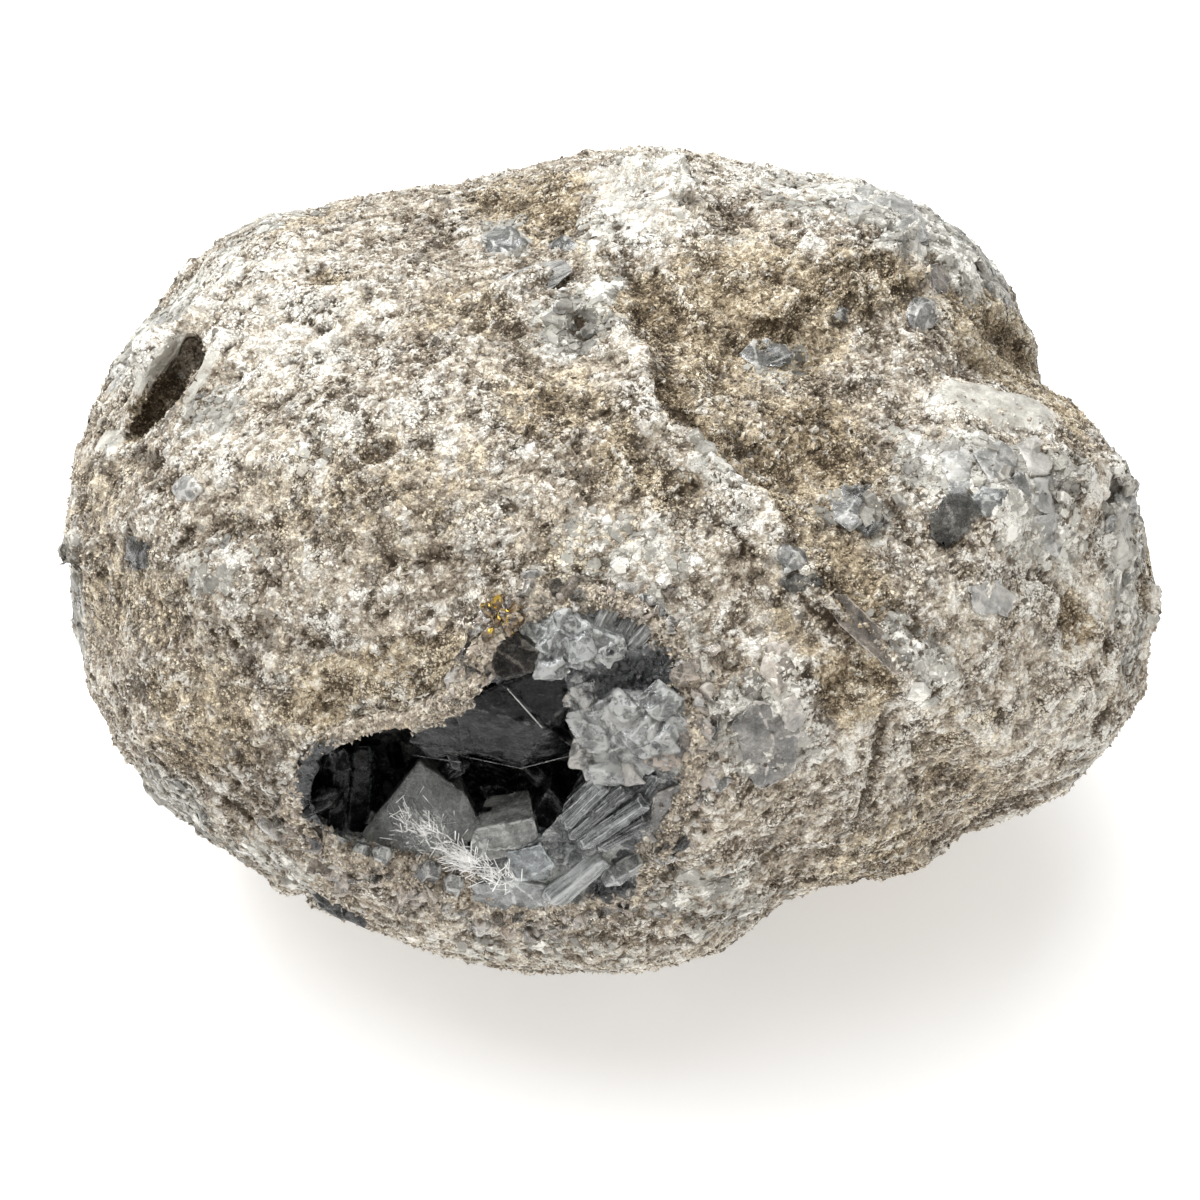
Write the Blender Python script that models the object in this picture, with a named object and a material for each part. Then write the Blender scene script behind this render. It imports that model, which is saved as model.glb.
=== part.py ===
import math

import bmesh
import bpy
import numpy as np
from mathutils import Matrix, Vector, noise
from mathutils.bvhtree import BVHTree

# A celestite geode: a rounded nodule of sandy matrix with an open pocket of crystals.
# All sizes below are in millimetres. The nodule's shape is given as it is seen from
# VIEW_TILT above the front: each place is (right, up, out) from the nodule's middle,
# with out towards the eye.
MM = 0.001
VIEW_TILT = math.radians(42)

# The nodule's half sizes: across, front to back, and high.
HALF_WIDTH = 89.0
HALF_DEPTH = 75.0
HALF_HEIGHT = 63.0
SQUARENESS = 2.25  # 2 is an ellipsoid, more is boxier
FOOT_CUT = 1.8  # how much is worn off the bottom, which leaves the flat spot
FOOT_HEIGHT = HALF_HEIGHT - FOOT_CUT  # of the nodule's middle above what it rests on
STANDS_AT = (0.1, -0.8)  # where the middle stands, so that the whole outline is centred

# The nodule's outline, (right, up), anticlockwise from the right.
OUTLINE = (
    (89.8, -0.8), (88.5, 6.0), (85.8, 12.0), (82.0, 18.5), (77.8, 23.6), (75.3, 28.4),
    (74.4, 34.0), (70.5, 41.0), (62.2, 52.0), (52.0, 59.0), (36.5, 65.0), (21.6, 67.8),
    (11.6, 69.3), (-1.7, 68.3), (-13.3, 66.6), (-25.0, 62.9), (-35.7, 61.8),
    (-51.5, 58.4), (-61.4, 56.2), (-69.0, 50.5), (-76.4, 42.3), (-83.5, 32.0),
    (-88.2, 22.0), (-90.1, 10.8), (-90.0, 2.0), (-89.0, -8.0), (-84.5, -25.0),
    (-80.0, -33.0), (-73.0, -41.5), (-60.0, -51.5), (-44.0, -58.6), (-28.5, -64.7),
    (-8.5, -68.3), (2.0, -68.2), (13.5, -66.2), (22.4, -62.0), (30.0, -56.4),
    (37.0, -55.2), (45.0, -53.8), (53.0, -50.6), (62.0, -45.0), (74.5, -40.2),
    (81.5, -35.4), (86.3, -28.4), (88.8, -21.0), (90.2, -12.0),
)

# Swells and hollows of the front, each (right, up), half length, half width, the turn
# of its length in degrees, and its rise.
FORMS = (
    ((-43, 8), 34, 25, 10, 3.2),  # the big dome on the left
    ((27, 25), 22, 14, -38, -5.5),  # the sandy basin
    ((17, 12), 34, 3.6, -55, 3.4),  # the ridge that runs down its left side
    ((64, 12), 18, 10, -5, 6.5),  # the pale shelf
    ((67, 33), 9, 6, 20, -5.5),  # the recess over the shelf
    ((46, 31), 10, 6, -30, -2.0),
    ((47, 50), 20, 8, -20, 2.4),  # the crystal patch at the top right
    ((8, 60), 9, 8, 0, 2.6),  # the knob at the top
    ((-20, 50), 18, 6, -10, -2.4),  # the sandy dip beside it
    ((-12, 38), 12, 5, 20, 2.2),
    ((-64, 30), 13, 3.5, 45, 2.8),  # the ledge over the slot
    ((42, -16), 12, 4, -40, 2.4),  # the long blade's bed
    ((48, -32), 13, 9, 0, -3.0),  # the ribbed flank
    ((17, -34), 9, 14, 10, 3.0),  # the lumps right of the pocket
    ((30, -22), 6, 5, 0, 2.0),
    ((58, -43), 30, 2.2, 26, -2.6),  # the bedding step over the foot
    ((-5, -62), 30, 4, 0, 1.8),  # the lower lip
    ((-70, -22), 14, 10, 40, 2.0),
    ((-48, -22), 12, 3, -15, -1.6),
)

# The whole patch of crystals in the front, and the opening of the hollow inside it.
BED = (
    (-51.5, -40.7), (-48.5, -34.9), (-45.7, -29.9), (-38.5, -26.4), (-30.7, -24.9),
    (-23.2, -21.7), (-21.5, -17.5), (-17.5, -10.0), (-13.3, -7.5), (-1.7, -5.8),
    (6.6, -8.3), (11.3, -14.1), (13.3, -22.4), (14.6, -29.1), (12.9, -36.5),
    (9.6, -44.0), (5.8, -53.0), (-1.7, -56.3), (-11.6, -58.0), (-21.6, -57.0),
    (-29.9, -53.5), (-39.0, -49.8), (-47.3, -45.7),
)
HOLLOW = (
    (-45.3, -41.0), (-45.2, -35.5), (-44.0, -30.9), (-37.6, -27.9), (-30.0, -26.6),
    (-22.9, -23.6), (-16.1, -20.2), (-9.3, -18.2), (-6.1, -19.6), (-6.3, -23.9),
    (-5.0, -29.7), (-4.5, -34.2), (-6.3, -37.5), (-9.3, -41.5), (-12.0, -44.3),
    (-19.1, -45.3), (-25.9, -46.3), (-33.7, -46.8), (-39.0, -45.3), (-43.3, -44.0),
)
POCKET_MIDDLE = (-24.0, -35.0)
POCKET_AXIS = Vector((0.05, 0.58, -0.81)).normalized()  # inwards

# The hollow's rings: depth, and how far each stands outside the opening.
HOLLOW_RINGS = ((1.0, 0.0), (5.0, 2.0), (12.0, 4.5), (20.0, 4.0), (28.0, 0.5), (35.0, -5.0))
HOLLOW_LEAST = 3.0  # the hollow's least reach from its axis
CRUST_WALL = 3.4  # from the hollow to the matrix, inside
RIM_WALL = 1.2  # the same at the opening
BED_DEPTH = 8.0  # how deep the crystals go where there is no hollow
BED_STEP = 1.5  # over how much depth the bed draws in to the hollow's own wall
SEAT_GAP = 0.4  # between the crust and the stone, all over
GROWN_GAP = 0.15  # and how much further in the crust's crystals are trimmed
BEFORE = 95.0  # how far in front of the middle the pocket's cutters start
RIM_PROUD = 0.6  # how far in front of the surface they start to turn inwards

# Crystals of the pocket with broad broken faces: the corners of the face that shows, each
# (right, up, depth behind the nodule's surface), and how far the crystal goes in.
BLOCKS = (
    # The dark plate that hangs from the upper lip, in three crystals.
    (
        (
            (-30.6, -28.8, 5), (-29.2, -25.5, 3), (-22.0, -22.6, 2), (-20.5, -30.8, 5),
            (-27.3, -31.5, 6.5),
        ),
        6,
    ),
    (
        (
            (-23.4, -23.0, 2), (-16.1, -19.8, 1), (-9.4, -26.6, 2.5), (-4.9, -30.3, 5),
            (-13.7, -32.7, 7), (-22.5, -30.6, 5),
        ),
        7,
    ),
    (
        (
            (-16.3, -20.0, 1), (-6.2, -16.6, 0.5), (-5.6, -22.0, 2), (-7.2, -26.8, 3.5),
            (-10.0, -26.6, 3),
        ),
        8,
    ),
    # The bed of the dark smoky crystal above it and the brown one beside it.
    (
        (
            (-20.0, -12.7, 0.5), (-15.1, -11.8, 0), (-10.4, -15.2, -0.5), (-11.6, -18.4, 0),
            (-16.6, -19.4, 0.5),
        ),
        6,
    ),
    # The smoky pyramid that stands up from the pocket's floor.
    (
        (
            (-29.3, -32.2, 9), (-39.2, -44.4, 4), (-33.0, -46.6, 1.5), (-24.5, -46.2, 1),
            (-19.2, -43.2, 5), (-22.4, -37.0, 8),
        ),
        8,
    ),
    # Blocky crystals of the lower lip.
    (
        (
            (-20.9, -42.7, 4), (-11.7, -40.8, 5.5), (-10.4, -44.9, 1.5), (-18.8, -47.6, -0.5),
            (-21.6, -46.3, 0.5),
        ),
        9,
    ),
    (
        (
            (-16.1, -46.0, 0.5), (-10.7, -44.6, 0), (-8.6, -47.8, -1.6), (-9.8, -50.4, -2),
            (-14.8, -50.9, -1.6),
        ),
        7,
    ),
    (
        (
            (-21.6, -51.5, -1), (-15.6, -50.4, -1.8), (-9.8, -51.5, -1.2), (-9.6, -55.6, -0.8),
            (-14.1, -57.6, -0.6), (-21.3, -55.4, -0.6),
        ),
        7,
    ),
    (((-2.8, -48.6, 1.5), (4.6, -50.0, 1.0), (5.4, -53.0, 0.6), (-1.4, -54.6, 0.4)), 6),
    # The big ribbed prism on the right, with its wedge end at the lower left.
    (
        (
            (-7.2, -38.3, 2), (-3.4, -34.4, -2), (6.8, -33.6, -2), (7.4, -38.3, 0.5),
            (0.8, -43.9, -1.4), (-3.4, -45.6, -0.5), (-7.4, -44.3, 1.5),
        ),
        8,
    ),
    # The pale lumpy crystals over it.
    (
        (
            (-6.7, -24.7, 0), (0.5, -21.4, -1.2), (5.6, -23.5, -2.4), (3.2, -28.6, -2.8),
            (-4.2, -28.4, -1.0),
        ),
        7,
    ),
    (
        (
            (0.4, -22.0, -1.0), (9.2, -21.4, -1.0), (13.0, -25.8, -0.5), (8.4, -30.6, -3.0),
            (2.0, -28.4, -2.8),
        ),
        7,
    ),
    (
        (
            (-4.8, -28.2, -1.0), (3.6, -28.0, -3.0), (8.6, -31.4, -2.6), (3.0, -35.0, -1.6),
            (-3.2, -34.8, 0), (-5.0, -31.6, 1),
        ),
        7,
    ),
    (
        (
            (8.0, -28.0, -2.6), (12.9, -25.6, -0.6), (12.8, -30.2, -1.0), (7.6, -33.2, -2.4),
            (4.4, -31.4, -2.8),
        ),
        6,
    ),
    # The dark slate face and the pale block at its left.
    (
        (
            (-6.6, -17.8, 3), (1.9, -15.2, 1.5), (8.3, -9.6, 1), (10.6, -13.2, 0.5),
            (10.4, -19.0, 1.2), (4.4, -21.4, 2.5), (-2.9, -23.4, 3),
        ),
        6,
    ),
    (((-6.8, -20.4, 1), (-2.9, -19.6, 0), (-2.3, -23.6, 0), (-6.6, -24.3, 0.6)), 7),
    # The mint lump above them.
    (
        (
            (-11.7, -11.6, 0), (-6.4, -8.4, -1.0), (-2.6, -12.0, -3.0), (-4.4, -17.9, -1.6),
            (-9.6, -17.3, -0.4),
        ),
        7,
    ),
    (((-4.6, -11.4, -2.4), (1.9, -13.2, -1.5), (2.2, -16.2, -0.4), (-4.2, -17.6, -1.4)), 6),
    # The small dark wedge in the slit, and lumps at the right edge.
    (((-13.0, -41.2, 9), (-9.4, -36.2, 8), (-6.4, -39.8, 6), (-8.6, -43.0, 6)), 8),
    (((6.2, -36.6, -0.5), (11.4, -34.6, 0), (11.0, -39.6, -0.6), (5.4, -43.6, -0.4)), 6),
)

# Long crystals: the middle of the root, the middle of the tip, as above, then width,
# thickness and turn about the length in degrees.
PRISMS = (
    ((-1.0, -46.4, 1.5), (-10.4, -54.4, -1.6), 4.6, 4.2, 20),  # the white-faced prism
    ((4.8, -46.8, 1.2), (-1.4, -50.6, -0.6), 4.0, 3.0, 10),
    ((-2.6, -13.4, 1.5), (1.2, -5.6, -0.8), 3.6, 3.4, 30),  # three ribbed blades, top right
    ((0.6, -13.6, 1.5), (5.0, -6.6, -0.8), 3.6, 3.0, 60),
    ((2.8, -14.6, 1.8), (7.8, -8.6, -0.4), 3.6, 3.0, 15),
    ((-43.6, -43.0, 6), (-41.6, -30.4, 11), 5.0, 4.0, 30),  # slate blades, left wall
    ((-40.0, -44.5, 9), (-38.2, -30.0, 15), 5.5, 4.0, 10),
    ((-44.0, -46.2, 1.5), (-38.4, -47.6, -0.8), 3.4, 3.0, 25),  # small ones, lower left
    ((-40.4, -48.6, 1.6), (-37.6, -45.4, -1.2), 3.2, 3.0, 50),
    ((-36.8, -50.2, 1.2), (-34.6, -45.6, -1.6), 3.4, 3.0, 5),
    ((-30.4, -52.6, 1.0), (-26.6, -47.8, -1.4), 3.8, 3.2, 35),
    ((-25.8, -54.6, 1.0), (-23.6, -49.8, -1.6), 3.6, 3.2, 15),
    ((-4.2, -57.0, 1.4), (-6.2, -52.4, -1.6), 3.6, 3.0, 40),
    ((11.6, -42.8, 1.2), (6.8, -45.8, -1.4), 3.8, 3.2, 20),
)

# Crystals all round the inside of the hollow: for each ring its depth, how many, their
# length and their width.
DRUSE = ((9.0, 7, 6.0, 4.6), (17.0, 8, 8.0, 5.4), (25.0, 7, 9.0, 6.0), (32.0, 4, 8.0, 6.0))
DRUSE_TURN = 0.45  # by how much each ring is turned from the last, in radians
DRUSE_LEAN = 0.4  # how far a crystal tips from square to the wall
DRUSE_ROOT = 2.0  # how far it goes into the wall
DRUSE_FLAT = 0.8  # its thickness against its width
DRUSE_SIZES = (0.75, 1.2)  # the least and the most of its length in the ring
DRUSE_STRAY = 0.25  # how far its place strays round the ring, as a share of the spacing
DRUSE_INWARD = 0.5  # how far it may lean to the mouth

ROOT_SHARE = 0.7  # a block's root against its face

# A prism's section, from -1 to 1 across its width and thickness. Then its wedge end: its
# length against the width, at most what share of the whole, and where its edge ends.
SIX_SIDED = ((-1, 0), (-0.55, 1), (0.55, 1), (1, 0), (0.55, -1), (-0.55, -1))
FOUR_SIDED = ((-1, -0.25), (0.25, 1), (1, 0.25), (-0.25, -1))
PRISM_ROOT = 0.9  # a prism's root against its width
WEDGE = 0.55
WEDGE_MOST = 0.4
WEDGE_ENDS = (-0.5, 0.35)

# Crystals that show in the nodule's outer surface, in patches: the patch's middle as
# (right, up, out), its reach along and across, its turn in degrees, how many crystals,
# their size, and how far they stand out as a share of it. The middle need not lie on
# the surface: the patch is where a line to it from the nodule's middle comes out.
PATCHES = (
    ((50, 48, 42), 28, 6, -22, 11, 10.0, 0.11),  # top right
    ((8, 60, 28), 8, 6, 0, 4, 9.0, 0.11),
    ((62, 8, 38), 14, 8, -10, 10, 9.0, 0.14),  # the shelf's face
    ((-68, 36, 30), 4, 11, -35, 4, 11.0, 0.05),  # near the left edge
    ((-80, 2, 30), 4, 9, 0, 3, 9.0, 0.05),
    ((80, -8, 34), 4, 14, 0, 5, 11.0, 0.05),  # near the right edge
    ((24, 31, 60), 4, 3, 0, 2, 5.5, 0.20),  # small ones about the basin
    ((36, 5, 60), 5, 3, 20, 2, 6.0, 0.20),
    ((53, 5, 52), 3, 3, 0, 1, 7.0, 0.20),
    ((27, -3, 64), 4, 2, 0, 2, 5.5, 0.20),
    ((-76, 0, 34), 3, 3, 0, 2, 5.5, 0.18),
    ((-50, -56, 20), 8, 3, -30, 3, 7.0, 0.14),  # the dark ones at the lower left
    ((70, 10, -60), 20, 14, 20, 6, 14.0, 0.09),  # the far side
    ((-45, 40, -50), 22, 11, 50, 6, 13.0, 0.09),
    ((5, 30, -70), 18, 10, 0, 5, 13.0, 0.09),
)
PATCH_RADIUS = 80.0  # where a patch's reach is measured, from the nodule's middle
BLOCK_LEAN = 0.32  # how far a block tips out of the surface, as a share of its axis
BLOCK_ROOT = 0.5  # how deep it goes, as a share of its size
BLOCK_NARROW = 0.8  # its width against its length
BLOCK_SIZES = (0.75, 1.25)  # the least and the most of its size in the patch
BLOCK_UNEVEN = (0.75, 1.1)  # and of each corner's reach

# Single long crystals bedded in the nodule: their ends, width, thickness and turn.
BEDDED = (
    ((-19.0, 38.6, 1.2), (-8.0, 43.6, 0.6), 5.0, 4.0, 25),
    ((31.0, -6.0, 0.8), (47.5, -23.0, 0.4), 6.0, 4.5, 40),
    ((28.0, 41.0, 1.0), (21.0, 35.0, 0.6), 3.6, 3.2, 10),
)

# The worn slot at the upper left: the corners of its cutter, as (right, up, depth).
SLOT = (
    (-79.0, 17.0, -6), (-74.0, 15.5, -6), (-61.0, 32.0, -6), (-65.5, 35.5, -6),
    (-76.0, 19.5, 6.0), (-73.5, 19.5, 7.0), (-64.0, 31.0, 7.0), (-66.5, 32.0, 6.0),
)

FAR = 300.0  # outside everything, where the lines that find the surface start
GRID = 15  # squares along each side of the cube that the nodule's mesh starts from
FRONT_PULL = 0.30  # how much finer the mesh is in front than behind
FORM_EDGE = 1.4  # 1 lets a form fade out softly, more gives it a plateau and an edge
ROUGHNESS = ((21.0, 2.8), (9.0, 2.2))  # lumps of the surface: their size and rise
EDGE_CALM = 0.6  # how much smaller the lumps are along the outline
BACK_LUMP = (48.0, 3.0)  # broad lumps of the side that the outline doesn't reach
BACK_PLACE = Vector((3, 7, 1))  # which part of the noise they take
RING_POINTS = 32  # round each ring of the pocket's cutters

RIGHT = Vector((1, 0, 0))
UP = Vector((0, math.sin(VIEW_TILT), math.cos(VIEW_TILT)))
OUT = Vector((0, -math.cos(VIEW_TILT), math.sin(VIEW_TILT)))


def placed(place):
    """World position, in millimetres from the nodule's middle, of (right, up, out)."""
    return RIGHT * place[0] + UP * place[1] + OUT * place[2]


def seen(position):
    """(right, up, out) of a world position."""
    return Vector((position.dot(RIGHT), position.dot(UP), position.dot(OUT)))


def polar(points, middle=(0.0, 0.0)):
    """A closed outline as its angles, in order, and its distances from the middle."""
    across = np.array(points) - np.array(middle)
    angles = np.arctan2(across[:, 1], across[:, 0])
    order = np.argsort(angles)
    return angles[order], np.hypot(across[:, 0], across[:, 1])[order]


def reach(outline, angle):
    angles, distances = outline
    return float(np.interp(angle, angles, distances, period=2 * math.pi))


def ease(value):
    value = min(max(value, 0.0), 1.0)
    return value * value * (3 - 2 * value)


def clear_scene():
    for obj in list(bpy.data.objects):
        bpy.data.objects.remove(obj, do_unlink=True)


def material(name, colour, roughness):
    made = bpy.data.materials.new(name)
    made.use_nodes = True
    shader = made.node_tree.nodes["Principled BSDF"]
    shader.inputs["Base Color"].default_value = (*colour, 1)
    shader.inputs["Roughness"].default_value = roughness
    shader.inputs["Metallic"].default_value = 0
    made.diffuse_color = (*colour, 1)
    return made


def object_of(name, mesh_in_mm, helper=False):
    """An object from a bmesh in millimetres. A helper is only cut with or joined on."""
    bmesh.ops.recalc_face_normals(mesh_in_mm, faces=mesh_in_mm.faces)
    bmesh.ops.scale(mesh_in_mm, vec=(MM, MM, MM), verts=mesh_in_mm.verts)
    mesh = bpy.data.meshes.new(name)
    mesh_in_mm.to_mesh(mesh)
    mesh_in_mm.free()
    obj = bpy.data.objects.new(name, mesh)
    bpy.context.scene.collection.objects.link(obj)
    if helper:
        obj.hide_render = True
        obj.display_type = "WIRE"
    return obj


def boolean(obj, operation, other):
    step = obj.modifiers.new(operation.title(), "BOOLEAN")
    step.operation = operation
    step.solver = "EXACT"
    if isinstance(other, bpy.types.Collection):
        step.operand_type = "COLLECTION"
        step.collection = other
    else:
        step.object = other
    return step


def base_distance(direction):
    """How far the plain rounded body reaches from its middle along a unit direction."""
    terms = (
        abs(direction.x / HALF_WIDTH) ** SQUARENESS
        + abs(direction.y / HALF_DEPTH) ** SQUARENESS
        + abs(direction.z / HALF_HEIGHT) ** SQUARENESS
    )
    return terms ** (-1 / SQUARENESS)


def base_silhouette(steps=180):
    """The plain body's own outline as seen from the front, found by trying directions."""
    angles = np.linspace(-math.pi, math.pi, steps, endpoint=False)
    distances = []
    for angle in angles:
        side = (RIGHT * math.cos(angle) + UP * math.sin(angle)).normalized()
        farthest = 0.0
        for lean in np.linspace(-0.9, 0.9, 61):
            direction = (side * math.cos(lean) + OUT * math.sin(lean)).normalized()
            farthest = max(farthest, base_distance(direction) * math.cos(lean))
        distances.append(farthest)
    return angles, np.array(distances)


def form_rise(place):
    """The rise that the swells and hollows of the front give at (right, up)."""
    rise = 0.0
    for (right, up), half_length, half_width, turn, height in FORMS:
        turn = math.radians(turn)
        across = place.x - right
        along = place.y - up
        lengthwise = (across * math.cos(turn) + along * math.sin(turn)) / half_length
        sideways = (along * math.cos(turn) - across * math.sin(turn)) / half_width
        rise += height * math.exp(-((lengthwise**2 + sideways**2) ** FORM_EDGE))
    return rise


def nodule_position(direction, outline, silhouette):
    """The point of the nodule's surface in a direction from its middle."""
    point = direction * base_distance(direction)
    place = seen(point)
    angle = math.atan2(place.y, place.x)
    own = reach(silhouette, angle)
    share = math.hypot(place.x, place.y) / own
    factor = 1 + (reach(outline, angle) / own - 1) * ease(share * 1.25)
    point = placed((place.x * factor, place.y * factor, place.z))
    away = point.normalized()
    facing = ease((away.dot(OUT) + 0.15) / 0.5)
    rise = form_rise(seen(point)) * facing
    edge = ease((share - 0.80) / 0.18)  # 1 along the outline, 0 well inside it
    for size, height in ROUGHNESS:
        rise += height * noise.noise(point / size) * (1 - EDGE_CALM * edge)
    size, height = BACK_LUMP
    rise += height * noise.noise(point / size + BACK_PLACE) * (1 - facing)
    return point + away * rise


def nodule_mesh():
    """A cube's grid, drawn finer towards the eye and blown out to the nodule's surface."""
    outline = polar(OUTLINE)
    silhouette = base_silhouette()
    made = bmesh.new()
    bmesh.ops.create_cube(made, size=2)
    bmesh.ops.subdivide_edges(made, edges=made.edges, cuts=GRID - 1, use_grid_fill=True)
    for vert in made.verts:
        direction = Vector([math.tan(part * math.pi / 4) for part in vert.co]).normalized()
        lean = math.acos(max(-1.0, min(1.0, direction.z)))
        finer = lean - FRONT_PULL * math.sin(lean)
        side = Vector((direction.x, direction.y, 0))
        side = side.normalized() if side.length > 1e-6 else Vector((1, 0, 0))
        direction = side * math.sin(finer) + Vector((0, 0, math.cos(finer)))
        vert.co = nodule_position(placed(direction), outline, silhouette)
    bmesh.ops.triangulate(made, faces=made.faces)
    return made


def worn_foot(made):
    """Cuts the bottom off flat."""
    cut = bmesh.ops.bisect_plane(
        made,
        geom=made.verts[:] + made.edges[:] + made.faces[:],
        plane_co=(0, 0, -FOOT_HEIGHT),
        plane_no=(0, 0, 1),
        clear_inner=True,
    )
    rim = [part for part in cut["geom_cut"] if isinstance(part, bmesh.types.BMEdge)]
    bmesh.ops.contextual_create(made, geom=rim)


class Surface:
    """The nodule's plain surface, for standing things on it."""

    def __init__(self, made):
        self.tree = BVHTree.FromBMesh(made)

    def front(self, right, up):
        start = placed((right, up, FAR))
        hit = self.tree.ray_cast(start, -OUT)
        if hit[0] is None:
            raise ValueError(f"nothing of the nodule lies at {right}, {up}")
        return hit[0]

    def outward(self, direction):
        direction = direction.normalized()
        hit = self.tree.ray_cast(direction * FAR, -direction)
        return hit[0], hit[1]

    def behind(self, right, up, depth):
        return self.front(right, up) - OUT * depth


def hull(name, points, collection):
    """A convex solid round some points, as a helper."""
    made = bmesh.new()
    for point in points:
        made.verts.new(point)
    wrapped = bmesh.ops.convex_hull(made, input=made.verts)
    spare = [part for part in wrapped["geom_interior"] if isinstance(part, bmesh.types.BMVert)]
    bmesh.ops.delete(made, geom=spare, context="VERTS")
    obj = object_of(name, made, helper=True)
    bpy.context.scene.collection.objects.unlink(obj)
    collection.objects.link(obj)
    return obj


def block_points(corners, thickness, surface):
    """A crystal's broad face and its narrower root."""
    face = [surface.behind(*corner) for corner in corners]
    middle = sum(face, Vector()) / len(face)
    inward = placed(POCKET_AXIS)
    back = [middle + (point - middle) * ROOT_SHARE + inward * thickness for point in face]
    return face + back


def prism_points(root, tip, width, thickness, turn, section=SIX_SIDED):
    """A prism with a wedge end."""
    along = (tip - root).normalized()
    side = along.cross(OUT).normalized()
    side.rotate(Matrix.Rotation(math.radians(turn), 3, along))
    front = side.cross(along)
    points = []
    wedge = min(width * WEDGE, (tip - root).length * WEDGE_MOST)
    for end, size in ((root, PRISM_ROOT), (tip - along * wedge, 1.0)):
        for across, out in section:
            corner = side * across * width + front * out * thickness
            points.append(end + corner * size / 2)
    for across in WEDGE_ENDS:
        points.append(tip + side * across * width / 2)
    return points


def patch_blocks(surface, collection):
    """Broken blocky crystals that lie bedded in patches of the nodule's surface."""
    rng = np.random.default_rng(8)
    for number, (middle, along, across, turn, count, size, stand) in enumerate(PATCHES):
        middle = placed(middle)
        away = middle.normalized()
        right = UP.cross(away).normalized()
        up = away.cross(right)
        turn = math.radians(turn)
        for piece in range(count):
            u, v = rng.uniform(-1, 1, 2)
            shift = right * (u * along * math.cos(turn) - v * across * math.sin(turn))
            shift += up * (u * along * math.sin(turn) + v * across * math.cos(turn))
            spot, normal = surface.outward(away * PATCH_RADIUS + shift)
            lean = Vector(rng.uniform(-BLOCK_LEAN, BLOCK_LEAN, 3))
            axis = (normal + lean).normalized()
            side = axis.orthogonal().normalized()
            side.rotate(Matrix.Rotation(rng.uniform(0, math.tau), 3, axis))
            other = axis.cross(side)
            own = size * rng.uniform(*BLOCK_SIZES)
            points = []
            for height in (stand, -BLOCK_ROOT):
                for x, y in ((-1, -1), (1, -1), (1, 1), (-1, 1)):
                    wide = own / 2 * rng.uniform(*BLOCK_UNEVEN)
                    corner = side * x * wide + other * y * wide * BLOCK_NARROW
                    points.append(spot + corner + axis * own * height)
            hull(f"patch_{number}_{piece}", points, collection)


def pocket_wall(surface, radius_at, angle, depth):
    """A point of a pocket's wall: in from its opening along the axis, then spread."""
    at_rim = radius_at(angle, 0.0)
    away = RIGHT * math.cos(angle) + UP * math.sin(angle)
    right = POCKET_MIDDLE[0] + math.cos(angle) * at_rim
    up = POCKET_MIDDLE[1] + math.sin(angle) * at_rim
    spread = radius_at(angle, depth) - at_rim
    return surface.front(right, up) + away * spread + placed(POCKET_AXIS) * depth


def bag(name, surface, depths, radius_at):
    """A pocket's cutter: rings that follow its opening and go in along its axis."""
    made = bmesh.new()
    angles = [math.tau * step / RING_POINTS for step in range(RING_POINTS)]
    rim = [pocket_wall(surface, radius_at, angle, 0.0) for angle in angles]
    rings = [[point + OUT * (BEFORE - point.dot(OUT)) for point in rim]]
    rings.append([point + OUT * RIM_PROUD for point in rim])
    for depth in depths:
        rings.append([pocket_wall(surface, radius_at, angle, depth) for angle in angles])
    loops = [[made.verts.new(point) for point in ring] for ring in rings]
    for first, second in zip(loops, loops[1:]):
        for step in range(RING_POINTS):
            after = (step + 1) % RING_POINTS
            made.faces.new((first[step], first[after], second[after], second[step]))
    made.faces.new(loops[0])
    bottom = made.verts.new(sum((vert.co for vert in loops[-1]), Vector()) / RING_POINTS)
    for step in range(RING_POINTS):
        made.faces.new((loops[-1][step - 1], loops[-1][step], bottom))
    bmesh.ops.triangulate(made, faces=made.faces)
    return object_of(name, made, helper=True)


def druse(surface, collection):
    """Crystals that stand on the hollow's wall and lean towards its mouth."""
    rng = np.random.default_rng(21)
    inward = placed(POCKET_AXIS)
    radius = hollow_radius()
    for ring, (depth, count, length, width) in enumerate(DRUSE):
        for number in range(count):
            stray = rng.uniform(-DRUSE_STRAY, DRUSE_STRAY)
            angle = math.tau * (number + stray) / count + ring * DRUSE_TURN
            away = RIGHT * math.cos(angle) + UP * math.sin(angle)
            foot = pocket_wall(surface, radius, angle, depth)
            lean = Vector(rng.uniform(-DRUSE_LEAN, DRUSE_LEAN, 3))
            along = (lean - away - inward * rng.uniform(0.0, DRUSE_INWARD)).normalized()
            tall = length * rng.uniform(*DRUSE_SIZES)
            wide = width * rng.uniform(0.8, 1.2)
            turn = rng.uniform(0, 180)
            ends = foot - along * DRUSE_ROOT, foot + along * tall
            points = prism_points(*ends, wide, wide * DRUSE_FLAT, turn, FOUR_SIDED)
            hull(f"druse_{ring}_{number}", points, collection)


def hollow_radius():
    """How far the hollow reaches from the pocket's middle, by angle and depth."""
    outline = polar(HOLLOW, POCKET_MIDDLE)
    depths, spreads = zip(*HOLLOW_RINGS)

    def radius(angle, depth):
        spread = float(np.interp(depth, (0.0, *depths), (0.0, *spreads)))
        return max(HOLLOW_LEAST, reach(outline, angle) + spread)

    return radius


def bed_radius(gap):
    """The same for the whole bed of crystals, less a gap all round."""
    outline = polar(BED, POCKET_MIDDLE)
    inner = hollow_radius()

    def radius(angle, depth):
        open_part = reach(outline, angle) * (1 - ease((depth - BED_DEPTH) / BED_STEP))
        wall = RIM_WALL + (CRUST_WALL - RIM_WALL) * ease(depth / BED_DEPTH)
        return max(open_part, inner(angle, depth) + wall) - gap

    return radius


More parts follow.
